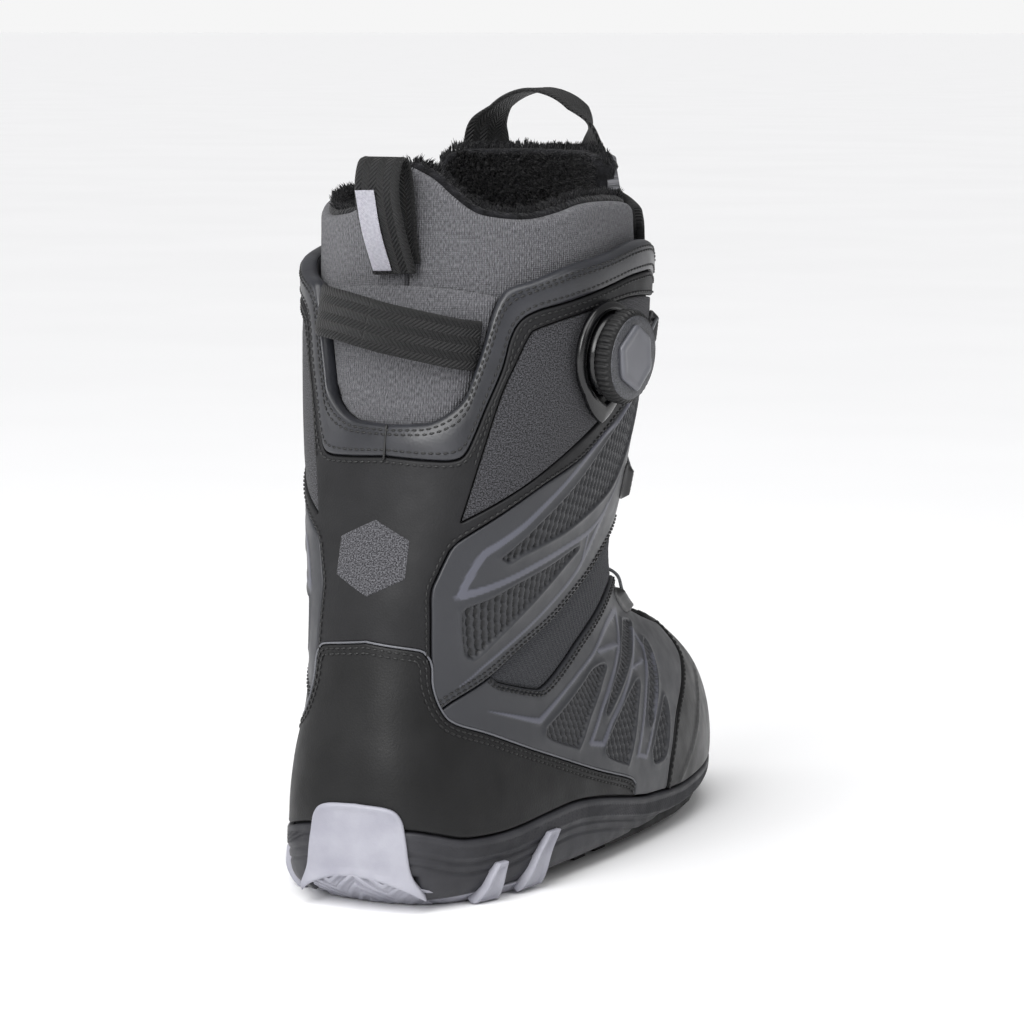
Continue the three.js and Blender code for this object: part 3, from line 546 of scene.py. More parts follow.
# Two tones mixed by a noise; size is that of its patches, in the unit of place.
def tones(tree, place, size, dark, light, detail=2.0, low=0.35, high=0.65):
    noise = addNode(tree, "ShaderNodeTexNoise", {"Vector": place, "Scale": 1 / size, "Detail": detail})
    ramp = addNode(tree, "ShaderNodeValToRGB", {"Fac": noise.outputs["Fac"]})
    ramp.color_ramp.elements[0].position, ramp.color_ramp.elements[1].position = low, high
    ramp.color_ramp.elements[0].color, ramp.color_ramp.elements[1].color = linear(dark), linear(light)
    return ramp.outputs["Color"]


# Lets the gloss wander between two values of roughness.
def roughen(tree, shader, place, size, low, high):
    noise = addNode(tree, "ShaderNodeTexNoise", {"Vector": place, "Scale": 1 / size, "Detail": 3.0})
    span = addNode(tree, "ShaderNodeMapRange", {"Value": noise.outputs["Fac"], "From Min": 0.3, "From Max": 0.7,
                                               "To Min": low, "To Max": high})
    tree.links.new(span.outputs["Result"], shader.inputs["Roughness"])


# Gives a finish its colour and its relief, which is as deep as depth in millimetres.
def surfaced(tree, shader, colour, height, depth):
    tree.links.new(colour, shader.inputs["Base Color"])
    bump = addNode(tree, "ShaderNodeBump", {"Height": height, "Strength": 1.0, "Distance": depth * toMetres})
    tree.links.new(bump.outputs["Normal"], shader.inputs["Normal"])


waveUnit = 0.314            # a wave texture of scale 1 repeats over this distance
perMetre = {                # repeats to a metre of the finest patterns, all drawn coarser than they are
    "filmGrain": 1600.0,    # 0.6 mm, where a moulded film's grain is about 0.3 mm
    "pileLumps": 700.0,     # 1.4 mm, where a fleece's locks are about 1 mm
    "stipple": 1400.0,      # 0.7 mm, where a sandblasted mould leaves about 0.3 mm
    "flow": 900.0,          # 1.1 mm, a faint waviness of moulded nylon
    "strands": 400.0,       # 0.8 mm between the strands of a 1.5 mm rope
}


# Polyurethane-coated synthetic leather, embossed with a fine grain: matte, with a soft broad highlight.
# Its grain is about 0.5 mm, too fine to show on a whole boot, so it is drawn at 0.9 mm or more.
def syntheticLeather(name, dark, light, roughness, grain=0.9, depth=0.05, specular=0.5):
    material, tree, shader, place = newFinish(name, roughness, Specular_IOR_Level=specular)
    roughen(tree, shader, place, 0.012, roughness - 0.05, roughness + 0.08)
    cells = addNode(tree, "ShaderNodeTexVoronoi", {"Vector": place, "Scale": 1000 / grain})
    surfaced(tree, shader, tones(tree, place, 0.02, dark, light), cells.outputs["Distance"], depth)
    return material


# Melange polyester cloth laminated to the shell: plain woven in two greys, so it looks speckled.
# Its threads are about 0.5 mm apart, and are drawn 0.75 mm apart or more so that they show.
def melangeCloth(name, dark, light, thread=0.75):
    material, tree, shader, place = newFinish(name, 0.85, True, Sheen_Weight=0.08, Specular_IOR_Level=0.25)
    speck = tones(tree, place, 0.62, dark, light, 2.5, 0.4, 0.62)
    warp, weft = (addNode(tree, "ShaderNodeTexWave", {"Vector": place, "Scale": waveUnit / thread,
                                                     "Distortion": 1.2, "Detail Scale": 2.0},
                          bands_direction=way).outputs["Fac"] for way in "XY")
    both = addNode(tree, "ShaderNodeMath", {0: warp, 1: weft}, operation="MULTIPLY")
    surfaced(tree, shader, speck, both.outputs["Value"], 0.22)
    return material


# Thermoplastic polyurethane film welded over cloth and moulded: satin, with lighter printed accent lines, and
# painted shade: darker towards deep in the mesh holes and a little over the sunk window floors.
def weldedFilm(name, base, deep, accent):
    material, tree, shader, place = newFinish(name, 0.4, Specular_IOR_Level=0.45)
    line, pit = (addNode(tree, "ShaderNodeAttribute", attribute_name=mark).outputs["Fac"]
                 for mark in ("accent", "pit"))
    # the pit mark mixes in the deep colour: painted shade in the holes, and a little over the sunk windows
    pitShade = addNode(tree, "ShaderNodeMix", {0: pit, 6: linear(base), 7: linear(deep)}, data_type="RGBA")
    drawn = addNode(tree, "ShaderNodeMix", {0: line, 6: pitShade.outputs[2], 7: linear(accent)}, data_type="RGBA")
    roughen(tree, shader, place, 0.008, 0.38, 0.5)
    grain = addNode(tree, "ShaderNodeTexNoise", {"Vector": place, "Scale": perMetre["filmGrain"], "Detail": 2.0})
    surfaced(tree, shader, drawn.outputs[2], grain.outputs["Fac"], 0.03)
    return material


# Weft-knitted polyester of a liner: vertical wales, heathered grey, dull.
# Its wales are about 0.8 mm apart, and are drawn 1.1 mm apart so that they show.
def heatherKnit(name, dark, light, wale=1.1):
    material, tree, shader, place = newFinish(name, 0.92, True, Sheen_Weight=0.1, Specular_IOR_Level=0.2)
    stretch = addNode(tree, "ShaderNodeMapping", {"Vector": place, "Scale": (1.6, 0.55, 1.0)})
    colour = tones(tree, stretch.outputs["Vector"], 0.9, dark, light, 3.0, 0.36, 0.66)
    wales = addNode(tree, "ShaderNodeTexWave", {"Vector": place, "Scale": waveUnit / wale, "Distortion": 1.6,
                                               "Detail": 2.0, "Detail Scale": 3.0}, bands_direction="X")
    courses = addNode(tree, "ShaderNodeTexWave", {"Vector": place, "Scale": waveUnit / (wale * 0.8),
                                                 "Distortion": 1.2}, bands_direction="Y")
    both = addNode(tree, "ShaderNodeMath", {0: courses.outputs["Fac"], 1: 0.35, 2: wales.outputs["Fac"]},
                   operation="MULTIPLY_ADD")
    surfaced(tree, shader, colour, both.outputs["Value"], 0.35)
    return material


# Dyed fleece pile: near black, no gloss, a slight sheen where the fibre tips catch light.
def fleecePile(name):
    material, tree, shader, place = newFinish(name, 0.95, Sheen_Weight=0.15, Specular_IOR_Level=0.1)
    colour = tones(tree, place, 0.003, "#0C0C0E", "#1C1C1F")
    lumps = addNode(tree, "ShaderNodeTexNoise", {"Vector": place, "Scale": perMetre["pileLumps"], "Detail": 3.0})
    surfaced(tree, shader, colour, lumps.outputs["Fac"], 1.2)
    return material


# Nylon webbing woven in a herringbone: dark, faintly lustrous yarns in slanting ribs.
# Its ribs are about 1.2 mm apart, and are drawn 1.9 mm apart so that they show. turnBack is half a zigzag.
def nylonWebbing(name, dark, light, rib=1.9, turnBack=3.3):
    material, tree, shader, place = newFinish(name, 0.6, True, Sheen_Weight=0.04, Specular_IOR_Level=0.35)
    across = addNode(tree, "ShaderNodeSeparateXYZ", {"Vector": place})
    height = across.outputs["X"]
    for operation, value in (("PINGPONG", turnBack), ("ADD", across.outputs["Y"]),
                             ("MULTIPLY", 2 * math.pi / rib), ("SINE", 0.0)):
        height = addNode(tree, "ShaderNodeMath", {0: height, 1: value}, operation=operation).outputs["Value"]
    surfaced(tree, shader, tones(tree, place, 1.2, dark, light), height, 0.3)
    return material


# Vulcanised rubber from a sandblasted mould: dull, slightly dusty, with a fine stipple.
# Moulded foam and pressed fibre board, which hardly show, are as dull and take it too.
def mouldedRubber(name, dark, light, roughness=0.7):
    material, tree, shader, place = newFinish(name, roughness, Specular_IOR_Level=0.35)
    roughen(tree, shader, place, 0.01, roughness - 0.08, roughness + 0.1)
    stipple = addNode(tree, "ShaderNodeTexNoise", {"Vector": place, "Scale": perMetre["stipple"], "Detail": 2.0})
    surfaced(tree, shader, tones(tree, place, 0.015, dark, light, 4.0), stipple.outputs["Fac"], 0.06)
    return material


# Injection-moulded nylon: smooth and hard, with a faint flow mottle in its gloss.
def mouldedNylon(name, dark, light, roughness, speckSize=0.02):
    material, tree, shader, place = newFinish(name, roughness, IOR=1.53)
    roughen(tree, shader, place, 0.006, roughness - 0.04, roughness + 0.06)
    flow = addNode(tree, "ShaderNodeTexNoise", {"Vector": place, "Scale": perMetre["flow"], "Detail": 2.0})
    surfaced(tree, shader, tones(tree, place, speckSize, dark, light), flow.outputs["Fac"], 0.015)
    return material


# Drawn stainless steel rope: bright metal strands.
def steelRope(name):
    material, tree, shader, place = newFinish(name, 0.38, Metallic=1.0)
    strands = addNode(tree, "ShaderNodeTexWave", {"Vector": place, "Scale": perMetre["strands"]},
                      bands_direction="DIAGONAL")
    surfaced(tree, shader, tones(tree, place, 0.002, "#6E7074", "#A0A3A8"), strands.outputs["Fac"], 0.1)
    return material


finish = {
    "counter": syntheticLeather("matte_polyurethane_black", "#0C0C0D", "#131314", 0.5, specular=0.3),
    "backstay": syntheticLeather("matte_polyurethane_charcoal", "#111113", "#18181A", 0.54, specular=0.3),
    "collar": syntheticLeather("satin_polyurethane_graphite", "#222327", "#2A2B30", 0.34, 1.3, 0.03, 0.55),
    "toe": syntheticLeather("satin_polyurethane_black", "#070708", "#0C0C0D", 0.38, 1.1, 0.03, 0.22),
    "piping": syntheticLeather("piping_grey", "#56575C", "#626368", 0.4),
    "textile": melangeCloth("melange_woven_grey", "#1B1B1D", "#4C4C50"),
    "badge": melangeCloth("speckled_print_grey", "#232326", "#606064", 1.1),
    # the film's second colour is the painted shade of its mesh holes and sunk windows
    "film": weldedFilm("welded_film_grey", "#303135", "#141518", "#54555F"),
    "gusset": melangeCloth("ribbed_stretch_cloth", "#26272B", "#3E3F43", 1.0),
    "knit": heatherKnit("heather_knit_grey", "#48484B", "#707074"),
    "blackKnit": heatherKnit("tongue_cloth_black", "#0B0B0C", "#151516"),
    "fleece": fleecePile("fleece_pile_black"),
    "webbing": nylonWebbing("nylon_webbing_black", "#0A0A0B", "#161617"),
    "label": nylonWebbing("woven_label_lavender", "#C6C5D1", "#DAD9E3", 0.7),
    "outsole": mouldedRubber("carbon_rubber_black", "#0A0A0B", "#131314"),
    "foxing": mouldedRubber("sidewall_rubber_grey", "#26262A", "#323236", 0.5),
    "patch": mouldedRubber("heel_rubber_lavender", "#90909A", "#9D9DA6", 0.5),
    "bezel": mouldedNylon("gloss_nylon_black", "#060608", "#0B0B0D", 0.22),
    "grip": mouldedRubber("grip_rubber_black", "#0B0B0C", "#131314", 0.5),
    "knobRing": mouldedNylon("speckled_nylon_grey", "#232427", "#4E4F54", 0.45, 0.0006),
    "cap": mouldedNylon("satin_nylon_grey", "#55565C", "#5E5F65", 0.32),
    "guide": mouldedNylon("guide_nylon_black", "#0E0E10", "#161618", 0.35),
    "steel": steelRope("steel_rope"),
    "thread": mouldedNylon("bonded_thread_black", "#050506", "#0B0B0C", 0.45, 0.002),
    "foam": mouldedRubber("eva_foam_black", "#121214", "#1C1C1F", 0.85),
    "board": mouldedRubber("fibre_board", "#6F6450", "#83775F", 0.85),
}
print("finishes made")


# The foxing is the rubber sidewall: a band of slanting ridges under its top edge, then two grooves.
foxing = {
    "bottom": 6.0, "thick": 3.2, "inside": 0.4,         # lowest level, and offsets of its outer and inner faces
    "around": 900, "rows": 44,                          # points round the boot and up the wall
    "edge": (2.2, 1.6),                                 # drop and width of the rounded top edge
    "foot": 0.5,                                        # how much thicker it is at the bottom
    "heelRecess": 2.6,                                  # how far it gives way to the heel tread
    "ridge": {"pitch": 1.9, "height": 0.28, "slant": 1.2},
    "grooves": (9.6, 13.4), "groove": (0.8, 0.6),       # levels under the top edge, depth and half width
}


def foxingLevel(g):
    line = border("foxingTop")
    a = np.where(g > toeMiddle, 2 * toeMiddle - g, g)
    return np.interp(np.abs(a), line[:, 0], line[:, 1])


def makeFoxing():
    girths = np.linspace(0, 360, foxing["around"], endpoint=False)
    bottom, ridge = foxing["bottom"], foxing["ridge"]
    top = foxingLevel(girths) - seamGap
    g, share = np.meshgrid(girths, np.linspace(0, 1, foxing["rows"]), indexing="ij")
    v = bottom + (top[:, None] - bottom) * share
    below = (top[:, None] - bottom) * (1 - share)                   # millimetres under the top edge
    drop, width = foxing["edge"]
    lift = foxing["thick"] - drop * edgeDrop(below, width) + foxing["foot"] * smoothstep(v, 16, 8)
    behind = np.abs((g + (180 - backSeam)) % 360 - 180)             # girth away from the middle of the heel
    lift -= foxing["heelRecess"] * smoothstep(behind, 13, 11.5) * smoothstep(v, 15.5, 14)
    band = smoothstep(below, 2.6, 3.2) * smoothstep(below, 7.6, 7.0)
    lengths = np.concatenate([[0], np.cumsum(np.linalg.norm(np.diff(skin(girths, 20, 3), axis=0), axis=1))])
    ridges = np.sin((lengths[:, None] + ridge["slant"] * v) * 2 * math.pi / ridge["pitch"])
    lift += band * (ridge["height"] * ridges - 0.2) - 0.5 * smoothstep(below, 7.4, 8.2)
    depth, half = foxing["groove"]
    for level in foxing["grooves"]:
        lift -= depth * np.exp(-((below - level) / half) ** 2)
    outer = skin(g, v, lift)
    inner = skin(g[:, ::-1], v[:, ::-1], np.full(g.shape, foxing["inside"]))[:, ::6]
    loops = [np.vstack([a, b]) for a, b in zip(outer, inner)]
    faces = [[a, d, c, b] for a, b, c, d in loopFaces(len(loops), len(loops[0]), True)]
    makePiece("foxing_sidewall", np.vstack(loops), faces, "foxing", "boot", ["foxing"])


# The light patch at the back of the heel, which flares out towards the ground.
def makeHeelPatch():
    arch = splined([[1.5, 14.8], [8, 13.4], [15, 8.5]])
    side = splined([[15, 8.5], [12.8, 16], [11.8, 29], [10.9, 38], [8.3, 42], [1.5, 43]])
    flare = lambda spots, solid, away: (2.6 * smoothstep(spots[:, 1], 20, 8) ** 1.4
                                        - 0.5 * smoothstep(away, 1.6, 2.4), {})
    half = np.vstack([arch, side[1:]])
    panel("heel_patch", ring(half, mirrored(half)), "patch", low=2.8, high=5.0, edge=1.3, gap=0, grid=1.6,
          relief=flare, stands=["heel_insert"])


tread = {
    "girths": (-44, 47, 520),                                       # from, to and how many rows
    "top": ([0, 7, 14, 18, 46], [14.6, 13.2, 8.6, 4.6, 4.6]),       # its top level by girth from the heel's middle
    "under": [-16, -6, 1.2],                                        # offsets along the ground
    "pitch": 4.6, "depth": 1.7,                                     # of the ribs, in millimetres
    "zigzag": (12, 1.5),                                            # girth of one turn, and its slope
    "plain": (14, 17),                                              # the ribs fade out between these girths
}


# Chevron tread under the heel: deep slanting ribs that turn back and forth along the edge.
def makeHeelTread():
    turn, slope = tread["zigzag"]
    rows = []
    for g in np.linspace(*tread["girths"]):
        far = abs(g - backSeam)
        top = np.interp(far, *tread["top"])
        levels = np.concatenate([[0.0, 0.0, 0.0], np.linspace(0.3, top, 30), [top]])
        bulge = 3.7 + 1.9 * smoothstep(levels[3:-1], 0, 5) + 0.5 * smoothstep(far, 17, 8)
        offsets = np.concatenate([tread["under"], bulge, [-2]])
        zigzag = abs((g + 4.5) % turn - turn / 2) * slope
        rib = smoothstep(np.sin((levels + zigzag) * 2 * math.pi / tread["pitch"]), -0.4, 0.3)
        rib = np.maximum(rib, smoothstep(far, *tread["plain"]))
        rib[:2], rib[-1] = 1, 1
        spots = skin(np.full(len(levels), g), np.maximum(levels, 0.5), offsets - tread["depth"] * (1 - rib))
        spots[:, 2] = levels
        rows.append(spots)
    points, faces = lofted(rows)
    makePiece("heel_tread_ribs", points, [f[::-1] for f in faces], "patch", "boot", ["heel_tread"])


lugs = {"rear": [[23.5, 3.2], [31, 3.2], [32.6, 8], [35, 15.5], [32, 15.5], [28, 8.5]],
        "front": [[37, 3.6], [45.5, 3.6], [47.5, 9], [53, 21.5], [49, 21.5], [42.5, 10]]}


# Slanting light lugs up the sidewall, thicker towards the ground and hollowed in their middle.
def makeSideLugs():
    def slope(spots, solid, away):
        return 1.6 * smoothstep(spots[:, 1], 16, 5) - 0.9 * smoothstep(away, 1.5, 2.2), {}
    for name, outline in lugs.items():
        for side, place in sides.items():
            panel(f"{name}_side_lug_{side}", ring(place(outline)), "patch", low=2.4, high=5.6, edge=0.8, gap=0,
                  grid=0.9, relief=slope, stands=[f"side_lug_{side}_{name}"], step=0.7)


# Gives a CAD node its finish, and rounded edges as wide as bevel in millimetres.
def dressNode(name, look, bevel):
    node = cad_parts[name]
    node.data.materials.clear()
    node.data.materials.append(finish[look])
    edge = node.modifiers.new("edges", "BEVEL")
    edge.width, edge.segments = bevel * toMetres, 3
    edge.limit_method, edge.angle_limit = "ANGLE", 0.7


makeFoxing()
makeHeelPatch()
makeHeelTread()
makeSideLugs()
dressNode("outsole", "outsole", 0.7)
for inner, look in {"midsole": "foam", "shank": "guide", "lasting_board": "board", "liner_sole": "knit",
                    "footbed": "foam"}.items():
    dressNode(inner, look, 0.5)
print("sole made")


# The moulded panels of the outer side have sunk mesh windows and raised accent lines.
upper = {
    "windows": [
        [[44.5, 137.5], [52, 143.5], [60, 150.5], [70, 158], [80.5, 167], [92, 177.5], [104, 187], [116, 192],
         [122, 188], [121, 176], [115, 165], [107, 156], [97, 151], [84, 146], [74.5, 143], [66, 141],
         [54.5, 138], [48.5, 135.5]],
        [[31.5, 117.5], [34, 119.5], [43, 122], [55.5, 126.5], [71, 130.5], [87.5, 135], [89.5, 133.5],
         [83, 129.5], [73, 123], [57, 113], [45.5, 105.5], [36, 98.7], [33.5, 98.5], [31.5, 101.5]],
    ],
    "accents": [            # girth, height and width of the line
        [[126, 203, 1.2], [112, 194, 1.6], [98, 184.5, 1.9], [88, 179.5, 2], [78.5, 172.5, 2], [68.5, 164, 2.1],
         [59.5, 156.5, 2.3], [51.5, 149.5, 2.7], [43, 143.5, 3], [37.5, 139.5, 3.3], [34, 132, 3.6],
         [31, 124, 3.4]],
        [[31, 124, 3.4], [40, 125.8, 2.8], [50, 128.5, 2.6], [63.5, 132.5, 2.6], [80, 136.5, 2.5],
         [94.5, 139.5, 2.4], [103, 144, 2], [109, 150, 1.4], [116, 158, 0.8]],
        [[27.5, 87.5, 0.4], [33, 91, 0.8], [39, 95, 1], [50.5, 101.5, 1.3], [70, 111.5, 1.5], [89.5, 122, 2],
         [97, 129, 2.8], [102, 138, 3.6], [107, 148, 3]],
        [[95.5, 139, 1.6], [96, 133, 1.6], [95.5, 126, 1.6]],
    ],
}
lower = {
    "windows": [
        [[54.5, 62.5], [65, 68.5], [76, 75], [85.5, 80], [93, 80], [86.5, 74], [73.5, 61], [66, 51], [63.5, 50.5],
         [54, 58]],
        [[127.5, 93.5], [132.5, 90.5], [122, 86], [108.5, 78.5], [90, 65], [82, 59], [81.5, 60.5], [90, 69.5],
         [109, 84]],
        [[78, 48.5], [87.5, 57.5], [99.5, 66], [104.5, 67.5], [96.5, 56], [86.5, 37.5], [84, 36], [76, 42.5]],
        [[127.5, 82], [122, 73.5], [112, 60.5], [102, 48.5], [99.5, 46.5], [102, 54.5], [110.5, 66.5],
         [119.5, 78]],
        [[98.5, 36], [104, 45], [109, 51.5], [113, 55.5], [112, 49], [109, 40], [105, 31], [99, 30.5]],
    ],
    "accents": [
        [[35, 75.5, 0.3], [41.5, 72, 1.2], [49.5, 67.5, 2], [52.5, 66, 2.6]],
        [[52.5, 66, 2.6], [65.5, 74, 1.6], [77, 80, 1.5], [90.5, 85.8, 1.6], [101.5, 91, 2], [113, 96, 3],
         [124, 99, 3.6]],
        [[95, 86.5, 1.6], [107, 85.5, 1.6]],
        [[126, 98, 3.4], [118, 91.5, 2.4], [108, 85, 2.2], [97, 77.5, 2], [83, 65, 1.9], [76, 57, 1.9],
         [70.5, 49.8, 2.2]],
        [[70.5, 49.8, 2.2], [75.5, 47.5, 2.2]],
        [[75.5, 47.5, 2.2], [82, 55, 1.8], [92.5, 63.5, 1.8], [102, 71.5, 1.8], [113.5, 80.5, 2.4],
         [126, 87, 3.2]],
        [[104.5, 73.5, 1.4], [114, 74.5, 1.4]],
        [[126, 87, 3], [120, 79, 2.2], [112, 70, 1.9], [104, 60.5, 1.8], [97, 49, 1.8], [91, 37.3, 2]],
        [[91, 37.3, 2], [95, 34.8, 2]],
        [[95, 34.8, 2], [100.5, 44, 1.7], [106.5, 54, 1.7], [114.5, 64.5, 1.8], [122, 74, 2]],
    ],
}
moulding = {
    "sink": 0.55, "pit": 1.3,                       # depth of a window, and of the holes in it
    "rim": 0.5, "rimWidth": 1.0,                    # height and width of the bead round a window
    "column": 3.4, "row": 4.4, "lean": 0.55,        # spacing of the holes, and how far they follow the window
    "hole": (1.2, 2.35),                            # half width and half height of a hole
    "accentRise": 0.25, "accentEdge": 0.22,         # height of an accent line, and how soft its edge is
    "windowStep": 0.6, "accentStep": 0.75,          # spacing of the points near them
    "low": 0.2, "high": 2.6, "face": 2.5,           # offsets of the panel, and where distances are measured
}


# The window's pattern is an expanded mesh: upright lens-shaped holes in staggered columns.
def meshHoles(spots, window, scale):
    axis = (window.max(0) - window.min(0)) * scale
    lean = moulding["lean"] * axis[1] / max(axis[0], 1)
    x = spots[:, 0] * scale[0]
    y = spots[:, 1] * scale[1] - x * lean
    deepest = np.full(len(spots), -9.0)
    for shift in (0, 0.5):
        dx = np.mod(x / (2 * moulding["column"]) + shift + 0.5, 1) - 0.5
        dy = np.mod(y / moulding["row"] + shift + 0.5, 1) - 0.5
        lens = (1 - (dx * 2 * moulding["column"] / moulding["hole"][0]) ** 2
                - np.abs(dy * moulding["row"] / moulding["hole"][1]) ** 2)
        deepest = np.maximum(deepest, lens)
    return smoothstep(deepest, -0.15, 0.55)


# Slightly different spacings keep the points of overlapping fine polygons from falling on each other.
def spreadSpacing(fine):
    return [(spot, spacing * (1 + 0.013 * i)) for i, (spot, spacing) in enumerate(fine)]


def mouldedPanel(name, outline, design, side, stands):
    place, face = sides[side], moulding["face"]
    windows = [splined([*place(w), place(w)[0]], 5)[:-1] for w in design["windows"]]
    accents = []                                    # girth and height of each line, and its widths
    for stroke in design["accents"]:
        stroke = np.array(stroke, float)
        widths = stroke[:, 2] if side == "lateral" else stroke[::-1, 2]
        accents.append((place(stroke[:, :2]), widths))
    centre = outline.mean(0)
    scale = scalesAt(centre[:1], centre[1:])[0]

    def relief(spots, solid, away):
        height, accent, pit = np.zeros(len(spots)), np.zeros(len(spots)), np.zeros(len(spots))
        for window in windows:
            line = spaced(window, 0.8, True)
            far, _ = reach(solid, skin(line[:, 0], line[:, 1], face), True)
            signed = np.where(inside(spots, window), far, -far)
            deep = smoothstep(signed, -0.2, 1.1)
            holes = meshHoles(spots, window, scale) * smoothstep(signed, 0.3, 0.9)
            rim = np.exp(-((signed + 0.7) / moulding["rimWidth"]) ** 2)
            height += moulding["rim"] * rim - moulding["sink"] * deep - moulding["pit"] * holes
            # pit is painted shade: nearly full in the holes, and a quarter of the way over the sunk floor of a
            # window
            pit = np.maximum(pit, np.clip(holes * 0.9 + deep * 0.25, 0, 1))
        for line, widths in accents:
            dense = splined(line, 6)
            wide = np.interp(np.arange(len(dense)) / 6, np.arange(len(widths)), widths)
            far, along = reach(solid, skin(dense[:, 0], dense[:, 1], face))
            half = np.interp(along, np.arange(len(dense)), wide) / 2
            accent = np.maximum(accent, smoothstep(far - half, moulding["accentEdge"], -moulding["accentEdge"]))
        accent *= 1 - np.clip(pit * 2, 0, 1)
        height += moulding["accentRise"] * accent
        return height, {"accent": accent, "pit": pit}

    margin = 1.8                                    # how far the fine points reach beyond a window
    fine = [(besideLine(spaced(w, 1.2, True), -margin if area(w) > 0 else margin, True), moulding["windowStep"])
            for w in windows]
    for line, widths in accents:
        line = splined(line, 4)
        wide = widths.max() / 2 + 0.7
        fine.append((np.vstack([besideLine(line, wide), besideLine(line, -wide)[::-1]]), moulding["accentStep"]))
    panel(name, outline, "film", low=moulding["low"], high=moulding["high"], grid=2.6, fine=spreadSpacing(fine),
          relief=relief, stands=stands)


def makeMouldedPanels():
    upperOutline = ring(border("upperTop"), border("throat", 3, 5), border("upperBottom")[::-1],
                        border("upperBack"))
    lowerOutline = ring(border("upperBottom", 0, 2), border("gussetBottom", 1), border("throat", 7),
                        border("toeCapBack")[::-1], [[95.5, 18], [88, 20.5]], border("counterTop", 5)[::-1])
    for side, place in sides.items():
        mouldedPanel(f"upper_moulding_{side}", ring(place(upperOutline)), upper, side, [f"upper_panel_{side}"])
        mouldedPanel(f"lower_moulding_{side}", ring(place(lowerOutline)), lower, side, [f"lower_panel_{side}"])


makeMouldedPanels()
print("moulded panels made")


# The leather and cloth panels of the shell, with how far each stands off the form.
shell = {"counterHigh": 2.8, "bandHigh": 2.6, "textileHigh": 1.9, "gussetHigh": 1.2, "toeHigh": 3.0,
         "badge": [[-12, 131], [0.5, 123.5], [13, 131], [13, 146], [0.5, 153.5], [-12, 146]],
         "ribPitch": 2.5, "ribDepth": 0.2, "ribSlope": (0.83, 0.56)}       # slope as forward and upward parts


# Raises the middle of a panel by an amount, over a width in from its edge.
def arched(amount, width):
    def relief(spots, solid, away):
        return amount * smoothstep(away, 0, width), {}
    return relief


# Narrow ribs across the stretch cloth over the ankle.
def clothRibs(spots, solid, away):
    forward, upward = shell["ribSlope"]
    along = solid[:, 1] * forward + solid[:, 2] * upward
    ribs = shell["ribDepth"] * np.sin(along * 2 * math.pi / shell["ribPitch"])
    return 0.6 * smoothstep(away, 0, 6) + ribs, {}


# A ridge across the toe cap, in front of its seam.
def toeRidge(spots, solid, away):
    line = np.array([[150, 56], [138, 47.5], [125, 31], [114.5, 17.5]])
    far = [reach(solid, skin(*splined(run).T, shell["toeHigh"]))[0] for run in (line, beyondToe(line))]
    return 0.7 * np.exp(-(np.minimum(*far) / 1.3) ** 2), {}


def makeShellPanels():
    wall = ring([[1.5, 19], [60, 19], [120, 19], [180, 19], [180, 78]], border("throat")[::-1],
                border("collarTop")[::-1])
    textile = ring(border("textileTop"), border("textileBottom")[::-1])
    ribbed = ring(border("upperBottom", 2), border("gussetBottom")[::-1])
    for side, place in sides.items():
        panel(f"padded_lining_{side}", ring(place(wall)), "foam", low=-3.8, high=0.15, edge=0.5, grid=6,
              stands=[f"lining_{side}"], step=2)
        panel(f"melange_side_{side}", ring(place(textile)), "textile", low=0.2, high=shell["textileHigh"],
              edge=0.6, relief=arched(0.3, 8), stands=[f"side_textile_{side}"])
        panel(f"ribbed_gusset_{side}", ring(place(ribbed)), "gusset", low=0.2, high=shell["gussetHigh"],
              edge=0.6, grid=0.85, relief=clothRibs, stands=[f"flex_gusset_{side}"])
    arm = np.vstack([border("counterTop", 0, 3), border("upperBack", 3), border("upperTop", 1),
                     border("textileBottom")[::-1], border("textileTop", 1), border("collarBottom")[::-1]])
    panel("backstay_leather", ring(arm, mirrored(arm)), "backstay", low=0.2, high=shell["bandHigh"],
          stands=["backstay"])
    panel("reflective_badge", ring(shell["badge"]), "badge", low=2.4, high=2.85, edge=0.35, gap=0)
    foot = border("foxingTop")
    front = foot[foot[:, 0] > 106]                      # the foxing's edge under the toe cap
    foot = foot[(foot[:, 0] <= 88) & (foot[:, 0] >= backSeam)]
    half = np.vstack([foot, border("counterTop")[::-1]])
    panel("heel_counter_leather", ring(half, mirrored(half)), "counter", low=0.2,
          high=shell["counterHigh"], edge=1.2, stands=["heel_counter"])
    under = np.vstack([front, beyondToe(front)])
    toe = ring(border("toeCapBack"), [[170, 81.5], [181.5, 82], [193, 81.5]], beyondToe(border("toeCapBack")),
               under[::-1])
    panel("toe_cap_leather", toe, "toe", low=0.2, high=shell["toeHigh"], edge=1.2, relief=toeRidge, grid=2.2,
          stands=["toe_cap"])


# The collar's section, from its lower seam up, over the rolled edge and down inside. Each row is
# the share of the way up the band, millimetres past that, and the offset from the form.
collar = {
    "section": [(0, 0.35, 0.3), (0, 0.4, 2.2), (0, 0.8, 2.6), (0, 1.6, 2.8), (0.12, 1.2, 2.9), (0.25, 0, 3.0),
                (0.4, 0, 3.2), (0.55, 0, 3.3), (0.7, 0, 3.2), (0.82, 0, 3.05), (0.92, 0, 2.8), (1, -0.4, 2.5),
                (1, 0.3, 1.6), (1, 0.8, 0.4), (1, 0.9, -1.0), (1, 0.6, -2.4), (1, -0.3, -3.6), (1, -2, -4.3),
                (1, -5, -4.7), (1, -9, -4.8), (1, -9.2, -3.9)],
    "sections": 330,                # from one side of the throat round the back to the other
    "seams": [(0.86, 0, 3.0), (0.72, 0, 3.25), (0.1, 1.4, 2.95)],       # rows of stitches, as above
}


